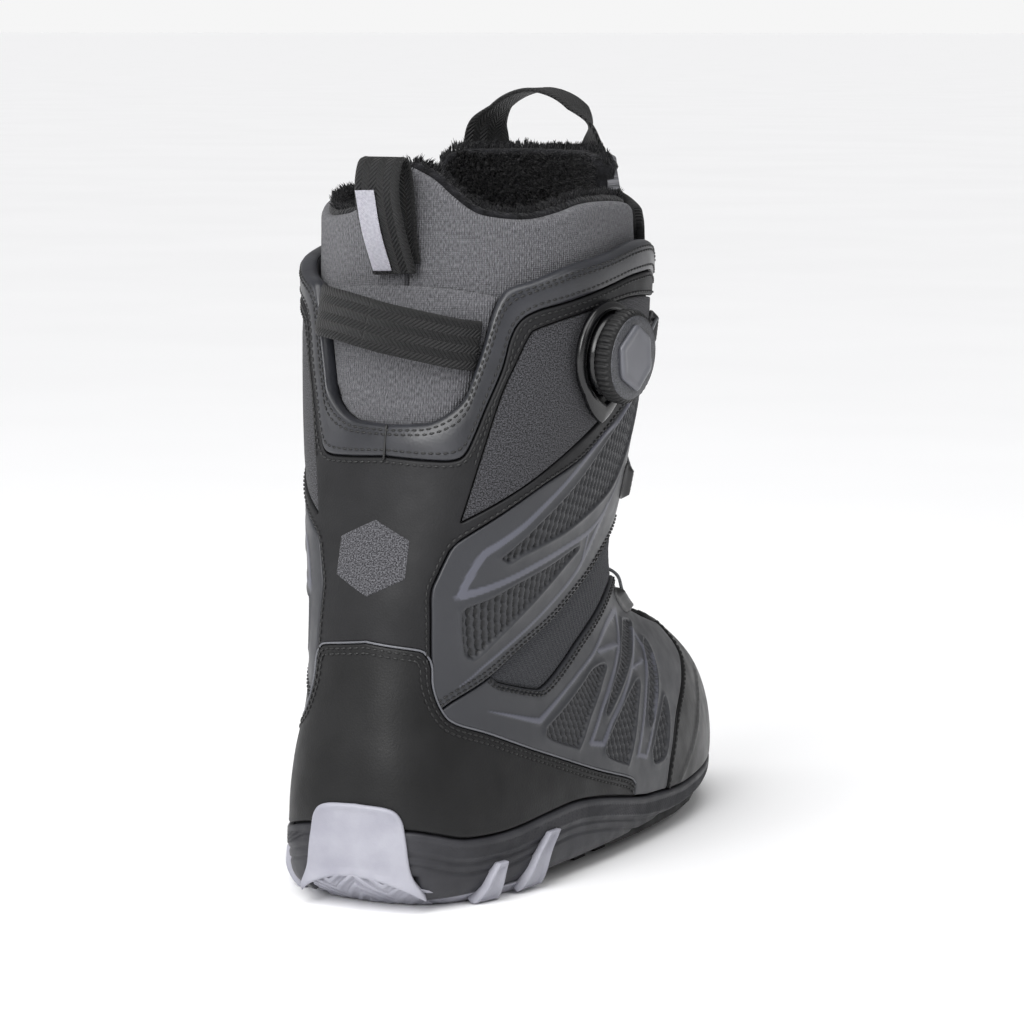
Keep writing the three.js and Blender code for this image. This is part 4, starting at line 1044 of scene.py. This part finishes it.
# The collar: a padded band whose top edge rolls over to the inside.
def makeCollar():
    edges = []
    for name in ("collarBottom", "collarTop"):
        half = spaced(border(name), 1.0)
        whole = np.vstack([mirrored(half)[:-1], half])
        stops = np.linspace(0, len(whole) - 1, collar["sections"])
        edges.append(np.stack([np.interp(stops, np.arange(len(whole)), whole[:, i]) for i in range(2)], -1))
    low, high = edges
    scale = scalesAt((low + high)[:, 0] / 2, (low + high)[:, 1] / 2)
    rise = (high - low) * scale
    rise /= np.linalg.norm(rise, axis=1, keepdims=True)
    across = lambda share, more: low + (high - low) * share + rise * more / scale
    rows = [skin(*across(share, more).T, offset) for share, more, offset in collar["section"]]
    points, faces = lofted(list(np.stack(rows, 1)))
    piece = makePiece("collar_roll", points, [f[::-1] for f in faces], "collar", "boot", ["collar_band"])
    stitches("collar_stitches", [(across(share, more), offset) for share, more, offset in collar["seams"]])
    back = np.array([[backSeam, 177], [backSeam, 191]])
    points, faces = tube(skin(*splined(back).T, 3.1), 0.55)
    makePiece("collar_back_seam", points, faces, "thread", "boot")


# Rows of stitches: border, its first knot, distances to its left in millimetres, offset from the form.
seams = {
    "counter_stitches": [("counterTop", 0, (-2.2, -4.4), 2.95)],
    "band_stitches": [("upperTop", 0, (1.6,), 2.75), ("upperBack", 2, (1.8,), 2.75),
                      ("textileTop", 1, (1.8,), 2.75), ("collarBottom", 0, (-2.2,), 2.75)],
    "upper_stitches": [("upperBottom", 0, (1.5, 3.3), 2.75)],
    "gusset_stitches": [("gussetBottom", 0, (-1.6, -3.2), 2.75)],
    "toe_stitches": [("toeCapBack", 0, (-1.8,), 3.1)],
}
piping = {"offset": 2.6, "radius": 0.45, "step": 1.5}


def makeSeams():
    for name, lines in seams.items():
        rows = []
        for line, first, distances, offset in lines:
            for distance in distances:
                run = besideLine(spaced(border(line, first), 1.0), distance)
                rows += [(run, offset), (mirrored(run), offset)]
        stitches(name, rows)
    parts = []
    for place in sides.values():
        run = spaced(besideLine(place(border("counterTop")), 0.1), piping["step"])
        points, faces = tube(skin(*run.T, piping["offset"]), piping["radius"])
        parts.append((points, faces[:-2]))              # the ends stay open, inside the foxing
    joinedPiece("counter_piping", parts, "piping", "boot")


makeShellPanels()
makeCollar()
makeSeams()
print("shell made")


# The liner, the tongues and the fleece that lines them.
fleece = {
    "fibres": 20000, "length": (1.8, 3.2), "thickness": 0.22,
    "rim": 3.0, "rimDepth": -11.6,      # radius of the fleece binding, and its offset from the form
    "tuft": 14, "gather": 0.35,         # fibres to a tuft, and how far they draw together
    "lean": 0.42, "stray": 0.3,         # how far a tuft leans, and each fibre beside it
    "depth": 34, "tongueDepth": 45,     # how far down inside the pile reaches
}


def makeLiner():
    top = border("linerTop")
    half = ring([[1.5, 27], [60, 27], [120, 27], [180, 27], [180, 81]], border("linerThroat")[::-1], top[::-1])
    for side, place in sides.items():
        piece = panel(f"liner_knit_{side}", ring(place(half)), "knit", low=-13, high=-5.4, edge=3.4, grid=4,
                      stands=[f"liner_{side}"], step=2)
    notch = border("collarTop", 0, 8)
    brow = splined([[36, 241.5], [33, 243], [18, 246], [1.5, 247]])
    gusset = ring(notch, brow, mirrored(brow), mirrored(notch))

    def creases(spots, solid, away):
        folds = np.sin(spots[:, 1] * 0.42 + 2.2 * np.sin(spots[:, 0] * 0.09)) * 0.5
        return 0.9 * smoothstep(away, 0, 9) + folds * smoothstep(away, 2, 12), {}
    piece = panel("rear_gusset_knit", gusset, "knit", low=-4.6, high=-2.4, gap=0.5, edge=1.2, grid=2,
                  relief=creases, stands=["rear_gusset"])
    rim = spaced(np.vstack([mirrored(top)[:-1], top]), 3.0)
    path = skin(rim[:, 0], rim[:, 1] - 0.4, fleece["rimDepth"])
    points, faces = tube(path, fleece["rim"], 12)
    piece = makePiece("liner_fleece_binding", points, faces, "fleece", "boot")
    return path


tonguePad = {"border": 9.0, "channel": 21.0}       # quilting of the shell tongue in millimetres


def makeTongues():
    gapEdge = border("throat") + [1.2, 0]
    shellHalf = np.vstack([[[180, 82.5], [158, 82.5]], gapEdge[::-1][2:],
                           [[126.5, 262], [131, 268], [150, 274], [180, 276]]])

    def channels(spots, solid, away):
        pad = smoothstep(away, tonguePad["border"] - 1.5, tonguePad["border"] + 2.5)
        fold = (spots[:, 1] + 7) % tonguePad["channel"] - tonguePad["channel"] / 2
        return pad * (0.9 - 1.1 * np.exp(-(fold / 1.4) ** 2)), {}
    outline = ring(shellHalf, beyondToe(shellHalf))
    piece = panel("shell_tongue_cloth", outline, "blackKnit", "tongue", low=-3.8, high=-0.2, edge=1.8,
                  grid=2.2, relief=channels, stands=["shell_tongue"], step=2)
    sewn = besideLine(spaced(outline, 1.0, True), tonguePad["border"] - 2.5, True)
    stitches("tongue_stitches", [(sewn, -0.15)], "tongue")
    edge = border("linerThroat") + [1.0, 0]
    linerHalf = np.vstack([[[180, 93], [159, 93]], edge[::-1][8:], [[140, 290], [150, 292.5], [180, 293]]])
    piece = panel("liner_tongue_knit", ring(linerHalf, beyondToe(linerHalf)), "knit", "tongue", low=-13,
                  high=-6, edge=2.5, grid=5, stands=["liner_tongue"], step=2)


# Tapered fibres standing on points of the pile, leaning with their neighbours in tufts.
def pile(name, roots, normals, body):
    count = len(roots)
    tuft = dice.normal(size=(max(8, count // fleece["tuft"]), 3))
    pick = dice.integers(0, count, len(tuft))
    centres = roots[pick]
    nearest = np.empty(count, int)
    for i in range(0, count, 1000):
        nearest[i:i + 1000] = ((roots[i:i + 1000, None] - centres[None]) ** 2).sum(2).argmin(1)
    lean = fleece["lean"] * tuft[nearest] + fleece["stray"] * dice.normal(size=(count, 3))
    lengths = dice.uniform(*fleece["length"], count)[:, None]
    reachIn = (centres[nearest] - roots) * fleece["gather"]
    tip = roots + (normals + 0.5 * lean) * lengths * 0.85 + reachIn
    middle = roots + normals * lengths * 0.55 + reachIn * 0.25 + lean * 0.6
    side = np.cross(normals, dice.normal(size=(count, 3)))
    side /= np.linalg.norm(side, axis=1, keepdims=True)
    other = np.cross(normals, side)
    rings = []
    for centre, share in ((roots - normals * 0.6, 1.0), (middle, 0.8), (tip, 0.15)):
        r = fleece["thickness"] * share
        rings += [centre + side * r, centre - side * r / 2 + other * r * 0.87,
                  centre - side * r / 2 - other * r * 0.87]
    points = np.stack(rings, 1).reshape(-1, 3)
    # a fibre is three rings of three points, with six faces between them
    pattern = [[0, 1, 4, 3], [1, 2, 5, 4], [2, 0, 3, 5], [3, 4, 7, 6], [4, 5, 8, 7], [5, 3, 6, 8]]
    quads = (np.arange(count)[:, None, None] * 9 + np.array(pattern)[None]).reshape(-1, 4)
    makePiece(name, points, quads, "fleece", body)


def makeFleece(rimPath):
    tongueHalf = np.array([[180, 226], [140, 226], [137, 286], [141, 291], [152, 293.5], [180, 294]])
    piece = panel("tongue_fleece_backing", ring(tongueHalf, beyondToe(tongueHalf)), "fleece", "tongue",
                  low=-17.6, high=-6.4, edge=4.5, grid=5, stands=["tongue_fur"], step=2)
    top = np.array([[g, np.interp(abs(g), border("linerTop")[:, 0], border("linerTop")[:, 1]) - 1]
                    for g in range(-126, 130, 3)])
    inner = np.vstack([[[-126, 226], [129, 226]], top[::-1]])
    piece = panel("liner_fleece_backing", ring(inner), "fleece", low=-15.6, high=-13.2, edge=1, grid=6,
                  stands=["fur_lining"], step=2.5)
    # the rim's fibres stand on the upper and inner side of the binding only
    count = fleece["fibres"]
    onRim = dice.integers(0, len(rimPath) - 1, count)
    mix = dice.random(count)[:, None]
    centre = rimPath[onRim] * (1 - mix) + rimPath[onRim + 1] * mix
    along = rimPath[onRim + 1] - rimPath[onRim]
    along /= np.linalg.norm(along, axis=1, keepdims=True)
    random = dice.normal(size=(count, 3))
    out = random - (random * along).sum(1)[:, None] * along
    out /= np.linalg.norm(out, axis=1, keepdims=True)
    legMiddle = form(np.full(1, 90.0), np.full(1, 270.0))[0] * [0, 1, 0]
    inwards = (legMiddle - centre) * [1, 1, 0]
    keep = (out * inwards).sum(1) / np.linalg.norm(inwards, axis=1) + 0.55 * out[:, 2] > -0.1
    centre, out = centre[keep], out[keep]
    roots, normals = [centre + out * fleece["rim"]], [out]
    # more stand on the backing, thinning out downwards
    g = dice.uniform(-124, 127, count // 2)
    top = np.interp(np.abs(g), border("linerTop")[:, 0], border("linerTop")[:, 1])
    v = top - dice.uniform(0, 1, len(g)) ** 1.3 * fleece["depth"]
    roots.append(skin(g, v, -14.2))
    normals.append(-outwards(g, v) + [0, 0, 0.35])
    pile("liner_fleece_pile", np.vstack(roots), np.vstack(normals), "boot")
    # the tongue's fibres stand on its inner face, and some of them along its top edge
    g = dice.uniform(138, 225, count)
    rise = dice.random(len(g)) ** 0.7
    atTop = 0.93
    edge = rise > atTop
    level = 294 - 6 * smoothstep(np.abs(g - toeMiddle), 34, 45)
    v = np.where(edge, level - 0.6, level - (atTop - rise) * fleece["tongueDepth"] - 2)
    depth = np.where(edge, dice.uniform(-14.5, -9.5, len(g)), -17.4)
    roots = skin(g, v, depth)
    normals = np.where(edge[:, None], [0, 0, 1.0], [0, 0, 0.45] - outwards(g, v))
    normals /= np.linalg.norm(normals, axis=1, keepdims=True)
    pile("tongue_fleece_pile", roots, normals, "tongue")


rimPath = makeLiner()
makeTongues()
makeFleece(rimPath)
print("liner made")


# The webbing of the pull loops, in millimetres.
webbing = {"width": 20, "thickness": 1.7, "step": 0.8, "selvage": 0.14,
           "heelCurve": [[-37.5, -40.8, 235.6], [-33.5, -49.5, 236], [-26, -59, 236], [-12, -65.5, 234.5],
                         [5, -66.5, 231], [20, -60.5, 227.5], [30, -51.5, 224.5], [35, -42.5, 223]]}


# A smooth curve through points in space, evenly spaced.
def curveThrough(points, step):
    line = splined(points, 24)
    lengths = np.concatenate([[0], np.cumsum(np.linalg.norm(np.diff(line, axis=0), axis=1))])
    stops = np.linspace(0, lengths[-1], int(lengths[-1] / step))
    return np.stack([np.interp(stops, lengths, line[:, i]) for i in range(3)], -1)


# A strap along a curve: across gives the direction of its width at each share of the length,
# and part is the stretch of it that is made.
def strap(name, points, across, look, body, stands, width=webbing["width"],
          thick=webbing["thickness"], part=(0, 1)):
    line = curveThrough(points, webbing["step"])
    along = np.gradient(line, axis=0)
    along /= np.linalg.norm(along, axis=1, keepdims=True)
    share = np.linspace(0, 1, len(line))
    side = np.array([across(t) for t in share], float)
    side -= (side * along).sum(1)[:, None] * along
    side /= np.linalg.norm(side, axis=1, keepdims=True)
    face = np.cross(along, side)
    first, final = (round(p * (len(line) - 1)) for p in part)
    line, side, face = (rows[first:final + 1] for rows in (line, side, face))
    u = np.linspace(-1, 1, 15)
    half = thick / 2 * (1 - 0.55 * np.abs(u) ** 8)
    selvage = webbing["selvage"] * thick * np.exp(-((np.abs(u) - 0.84) / 0.07) ** 2)
    outline = np.vstack([np.stack([u * width / 2, half + selvage], -1),
                         np.stack([u[::-1] * width / 2, -(half + selvage)[::-1]], -1)])
    loops = [p + outline[:, :1] * s + outline[:, 1:] * f for p, s, f in zip(line, side, face)]
    points, faces = lofted(loops)
    y = np.repeat(np.arange(len(line)) * webbing["step"], len(outline))
    lay = np.column_stack([np.tile(outline[:, 0], len(line)), y, np.zeros(len(y))])
    return makePiece(name, points, [f[::-1] for f in faces], look, body, stands, {"lay": lay})


def level(t):
    return 1, 0, 0


# The front loop's width turns half a turn from one foot to the other.
def turning(t):
    turn = math.pi / 2 * (min(1, t / 0.3) + min(1, max(0, (t - 0.7) / 0.3)))
    return math.cos(turn), math.sin(turn), 0


def upright(t):
    return 0, 0.1 + 0.25 * math.cos(t * math.pi), 1


def makeLoops():
    strap("rear_pull_loop", [[-1, -45.6, 251], [-2, -53, 268], [-2.5, -57.2, 283], [-3, -54, 294.5],
                             [-3, -48.5, 296], [-3, -44.6, 286], [-2.5, -43.2, 268], [-1, -42.9, 254]],
          level, "webbing", "rear_pull", ["rear_loop"])
    strap("rear_pull_label", [[-5.5, -47.9, 252], [-6.2, -55.4, 268], [-6.8, -59.7, 284.5]], level, "label",
          "rear_pull", ["rear_loop_label"], width=8.6, thick=0.5)
    strap("front_pull_loop", [[-30, 86, 286], [-30.5, 86, 296], [-29, 86, 308], [-19, 86, 318], [-5, 86, 322],
                              [9, 86, 318], [19, 86, 308], [20.5, 86, 296], [20, 86, 286]], turning, "webbing",
          "front_pull", ["front_loop"])
    # short tabs join the front loop to the tongue, and stay with it when the loop swings
    strap("front_pull_tab_medial", [[-29.8, 82, 270], [-30, 81.4, 278], [-30.2, 83, 284.5], [-30.2, 84.7, 289]],
          level, "webbing", "tongue", ())
    strap("front_pull_tab_lateral", [[20, 86, 270], [20, 84.9, 278], [20, 84.5, 284], [20, 84.7, 289]],
          level, "webbing", "tongue", ())
    # The heel strap is sewn in under the rolled edge of the collar at both ends; it is made in two halves, on no
    # body.
    curve = webbing["heelCurve"]
    for side, part, sewn, free in (("medial", (0, 0.5), curve[0], curve[2]),
                                   ("lateral", (0.5, 1), curve[-1], curve[-3])):
        half = strap(f"heel_pull_strap_{side}", curve, upright, "webbing", None, (), part=part)
        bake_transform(half)
        if side == "medial":
            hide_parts("heel_strap")


makeLoops()
print("loops made")


# The dial's parts are turned about its axle. Levels are millimetres out from the form.
dial = {
    "at": (77, 215),                # girth and height of the axle
    "bezelRadius": 21.5, "tail": 28.5, "tailWidth": 0.75,       # the bezel's tail points down
    "bezel": [(0.2, 3.2), (0, 3.8), (0, 4.9), (0.25, 5.5), (0.9, 6.0), (2.2, 6.5), (3.4, 6.6), (3.9, 6.2),
              (4.2, 5.2)],          # how far in from the bezel's outline, and level
    "cup": [(16.4, 5.4), (16.8, 6), (16.8, 9), (16.3, 9.4), (14.6, 9.4), (14.4, 9), (14.4, 7.3)],
    "grip": [(15.2, 10.0, 0), (17.6, 10.1, 0.2), (18.9, 10.7, 0.8), (19.1, 12, 1), (19.1, 15, 1),
             (18.8, 16.1, 0.9), (18, 16.9, 0.3), (17.2, 17.2, 0), (15, 17.2, 0), (14.9, 14.3, 0)],
    "ridges": 44, "ridgeDepth": 0.95, "scallops": 6,            # of the grip; its last column is their share
    "face": [(17.0, 16.2), (17.0, 17.35), (16.7, 17.7), (13.4, 17.75), (6, 17.6), (4, 17.6)],
    "capCorners": [(96, 14.2), (40, 12.6), (-22, 13.4), (-78, 14.4), (-142, 12.4), (158, 13.6)],
    "capSoftness": 18.0, "capSize": 14,                         # how sharp the cap's corners are
    "cap": [(0, 17.6), (0, 18.7), (0.35, 19.2), (1.1, 19.5), (2.4, 19.6), (3.0, 19.35), (4.5, 19.3)],
}


# The dial's axes and the point of the form under its axle.
def dialPlace():
    g, v = dial["at"]
    out = outwards(np.array([g]), np.array([v]))[0]
    up = np.array([0, 0, 1]) - out * out[2]
    up /= np.linalg.norm(up)
    return np.stack([np.cross(up, out), up, out]), form(np.array([g]), np.array([v]))[0]


def bezelRadius(angle, inset):
    fromTail = np.abs(np.angle(np.exp(1j * (angle + math.pi / 2))))
    tail = np.clip(1 - fromTail / dial["tailWidth"], 0, 1)
    return dial["bezelRadius"] + (dial["tail"] - dial["bezelRadius"]) * tail**1.3 - inset * (1 + tail)


def roundRadius(angle, radius):
    return radius + 0 * angle


def gripRadius(angle, radius, share):
    rib = smoothstep(np.cos(angle * dial["ridges"]), -0.4, 0.3)
    scallop = 0.35 * np.cos(angle * dial["scallops"])
    return radius - share * (dial["ridgeDepth"] * (1 - rib) + scallop * 0.3)


# An uneven hexagon with softened corners, drawn in by inset.
def capRadius(angle, inset):
    turns, reachOut = np.array(dial["capCorners"]).T
    corners = np.radians(turns)
    points = np.stack([reachOut * np.cos(corners), reachOut * np.sin(corners)], -1)[::-1]
    after = np.roll(points, -1, axis=0)
    direction = np.stack([np.cos(angle), np.sin(angle)], -1)
    normals = np.stack([(after - points)[:, 1], -(after - points)[:, 0]], -1)
    normals /= np.linalg.norm(normals, axis=1, keepdims=True)
    distance = (points * normals).sum(1)
    along = direction @ (normals * np.sign(distance)[:, None]).T
    hit = np.where(along > 0.05, np.abs(distance) / np.maximum(along, 0.05), 99)
    softness, size = dial["capSoftness"], dial["capSize"]
    return -np.log(np.exp(-softness * hit / size).sum(1)) * size / softness - inset


# One turned part: radiusAt gives its outline from the rest of each row of its section.
def dialPiece(name, section, radiusAt, look, body, stands, around=176):
    axes, origin = dialPlace()
    angle = np.linspace(0, 2 * math.pi, around, endpoint=False)
    loops = []
    for first, height, *rest in dial[section]:
        radius = radiusAt(angle, first, *rest)
        loops.append(np.stack([radius * np.cos(angle), radius * np.sin(angle), np.full(around, height)], -1))
    points, faces = lofted(loops)
    makePiece(name, points @ axes + origin, faces, look, body, stands)


def makeDial():
    dialPiece("dial_bezel_gloss", "bezel", bezelRadius, "bezel", "boot", ["dial_bezel"])
    dialPiece("dial_housing_cup", "cup", roundRadius, "bezel", "boot", ["dial_housing"])
    dialPiece("knob_grip_ribs", "grip", gripRadius, "grip", "dial", ["knob_grip"], 528)
    dialPiece("knob_face_ring", "face", roundRadius, "knobRing", "dial", ["dial_knob"])
    dialPiece("knob_cap_hexagon", "cap", capRadius, "cap", "dial", ["knob_cap"], around=240)
    for hidden, look in {"dial_axle": "steel", "lift_bush": "guide", "spool": "guide",
                         "drive_ring": "guide"}.items():
        dressNode(hidden, look, 0.2)


laceRun = {
    "rows": [222, 190, 158, 128, 104], "guideLength": 9, "guideInset": 5,       # heights and places of the guides
    "atGuide": 5.4, "nearTongue": 4, "onTongue": 2.6,                           # offsets of the lace from the form
    "radius": 0.75, "step": 0.8,
    "free": 14,                     # points of a crossing from its guide to where the tongue carries it
    "humpHigh": 3.2, "humpWidth": 2.0,      # of a guide, over the lace
}


# Girth of the guides at a height; side is 1 for the outer side and -1 for the inner.


def guideGirth(height, side):
    line = border("throat")
    g = np.interp(-height, -line[:, 1], line[:, 0]) - laceRun["guideInset"]
    return g if side > 0 else 2 * backSeam - g


# A low moulded guide: a rounded pad with a hump that holds the lace.
def makeGuide(name, row, end, side):
    upper, lower = guideGirth(row, 1), guideGirth(end, 1)
    outline = np.array([[lower - 5, end - 1], [lower + 1.6, end - 2], [upper + 1.6, row + 2],
                        [upper - 5, row + 1]])
    channel = skin(np.array([guideGirth(row, side), guideGirth(end, side)]), np.array([row, end]), 3.0)

    def hump(spots, solid, away):
        return laceRun["humpHigh"] * np.exp(-(reach(solid, channel)[0] / laceRun["humpWidth"]) ** 2), {}
    rounded = splined([*outline, outline[0]], 3)
    panel(f"{name}_moulded", ring(rounded if side > 0 else mirrored(rounded)), "guide", low=2.2, high=3.3,
          edge=0.6, gap=0, grid=0.9, relief=hump, stands=[name], step=0.8)


def laceCord(name, path, body=None):
    points, faces = tube(path, laceRun["radius"])
    return makePiece(name, points, faces, "steel", body)


# The lace runs in its guides with the boot; each crossing bends from a guide on to the tongue and back.
def makeLace():
    rows, length = laceRun["rows"], laceRun["guideLength"]
    lead = skin(np.array([97, 106, guideGirth(rows[0], 1)]), np.array([212, 216, rows[0]]),
                np.array([4.6, laceRun["atGuide"], laceRun["atGuide"]]))
    laceCord("lace_lead", curveThrough(lead, laceRun["step"]), "boot")
    for i, row in enumerate(rows):
        side = -1 if i % 2 else 1
        end = row - length
        g = np.linspace(guideGirth(row, side), guideGirth(end, side), 8)
        laceCord(f"lace_in_guide_{i + 1}", skin(g, np.linspace(row, end, 8), laceRun["atGuide"]), "boot")
        makeGuide(f"lace_guide_{i + 1}", row, end, side)
        if i == len(rows) - 1:
            continue
        start = guideGirth(end, side) + (0 if side > 0 else 360)
        stop = guideGirth(rows[i + 1], -side) + (360 if side > 0 else 0)
        t = np.array([0, 0.25, 0.5, 0.75, 1])
        offsets = [laceRun[k] for k in ("atGuide", "nearTongue", "onTongue", "nearTongue", "atGuide")]
        path = skin(start + (stop - start) * t, end + (rows[i + 1] - end) * t, np.array(offsets))
        path = curveThrough(path, laceRun["step"])
        half = len(path) // 2
        for part, run in (("a", path[:half + 1]), ("b", path[half:])):
            piece = laceCord(f"lace_crossing_{i + 1}{part}", run)
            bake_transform(piece)
            if i == 0 and part == "a":
                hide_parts("lace")


makeDial()
makeLace()
print("dial and lace made")


# A pale painted floor, a soft sun and three softboxes. Places are in metres from the boot's middle.
studio = {
    "floor": 400,
    "horizon": (0.03, 0.05), "sky": (0.92, 0.3),        # heights that the white band ends between, and brightness
    "sun": 2.3, "sunWidth": 1.0, "sunTurn": (0.38, 0.03, 0),
    "softboxes": {                          # place, size and watts
        "behind": ((0.0, -1.4, 0.65), 0.8, 15),
        "right": ((1.3, -0.2, 0.8), 0.8, 4),
        "left": ((-1.3, -0.6, 0.5), 0.7, 3),
    },
}


def makeStudio():
    floorMaterial, tree, shader, place = newFinish("painted_floor", 0.9, Specular_IOR_Level=0.1)
    tree.links.new(tones(tree, place, 0.4, "#F6F6F7", "#F8F8F9"), shader.inputs["Base Color"])
    bpy.ops.mesh.primitive_plane_add(size=studio["floor"], location=(0, 0, -0.0005))
    floor = bpy.context.object
    floor.name = "floor"
    floor.data.materials.append(floorMaterial)
    world = bpy.data.worlds.new("studio")
    bpy.context.scene.world = world
    world.use_nodes = True
    sky = world.node_tree
    # dim all round, with a white band at the horizon where the floor ends
    height = addNode(sky, "ShaderNodeSeparateXYZ", {0: addNode(sky, "ShaderNodeTexCoord").outputs["Generated"]})
    level = addNode(sky, "ShaderNodeMath", {0: height.outputs["Z"]}, operation="ABSOLUTE")
    (low, high), (bright, dim) = studio["horizon"], studio["sky"]
    band = addNode(sky, "ShaderNodeMapRange", {"Value": level.outputs["Value"], "From Min": low,
                                              "From Max": high, "To Min": bright, "To Max": dim})
    sky.links.new(band.outputs["Result"], sky.nodes["Background"].inputs["Strength"])
    sky.nodes["Background"].inputs["Color"].default_value = (1, 1, 1, 1)
    sun = bpy.data.lights.new("overhead", "SUN")
    sun.energy, sun.angle = studio["sun"], studio["sunWidth"]
    overhead = bpy.data.objects.new("overhead", sun)
    overhead.rotation_euler = studio["sunTurn"]
    bpy.context.scene.collection.objects.link(overhead)
    centre = (cadLow + cadHigh) / 2
    for name, (spot, size, power) in studio["softboxes"].items():
        light = bpy.data.lights.new(name, "AREA")
        light.size, light.energy = size, power
        lamp = bpy.data.objects.new(name, light)
        bpy.context.scene.collection.objects.link(lamp)
        lamp.location = centre + Vector(spot)
        lamp.rotation_euler = (centre - lamp.location).to_track_quat("-Z", "Y").to_euler()
    bpy.context.scene.view_settings.view_transform = "Standard"


makeStudio()
print("studio made")
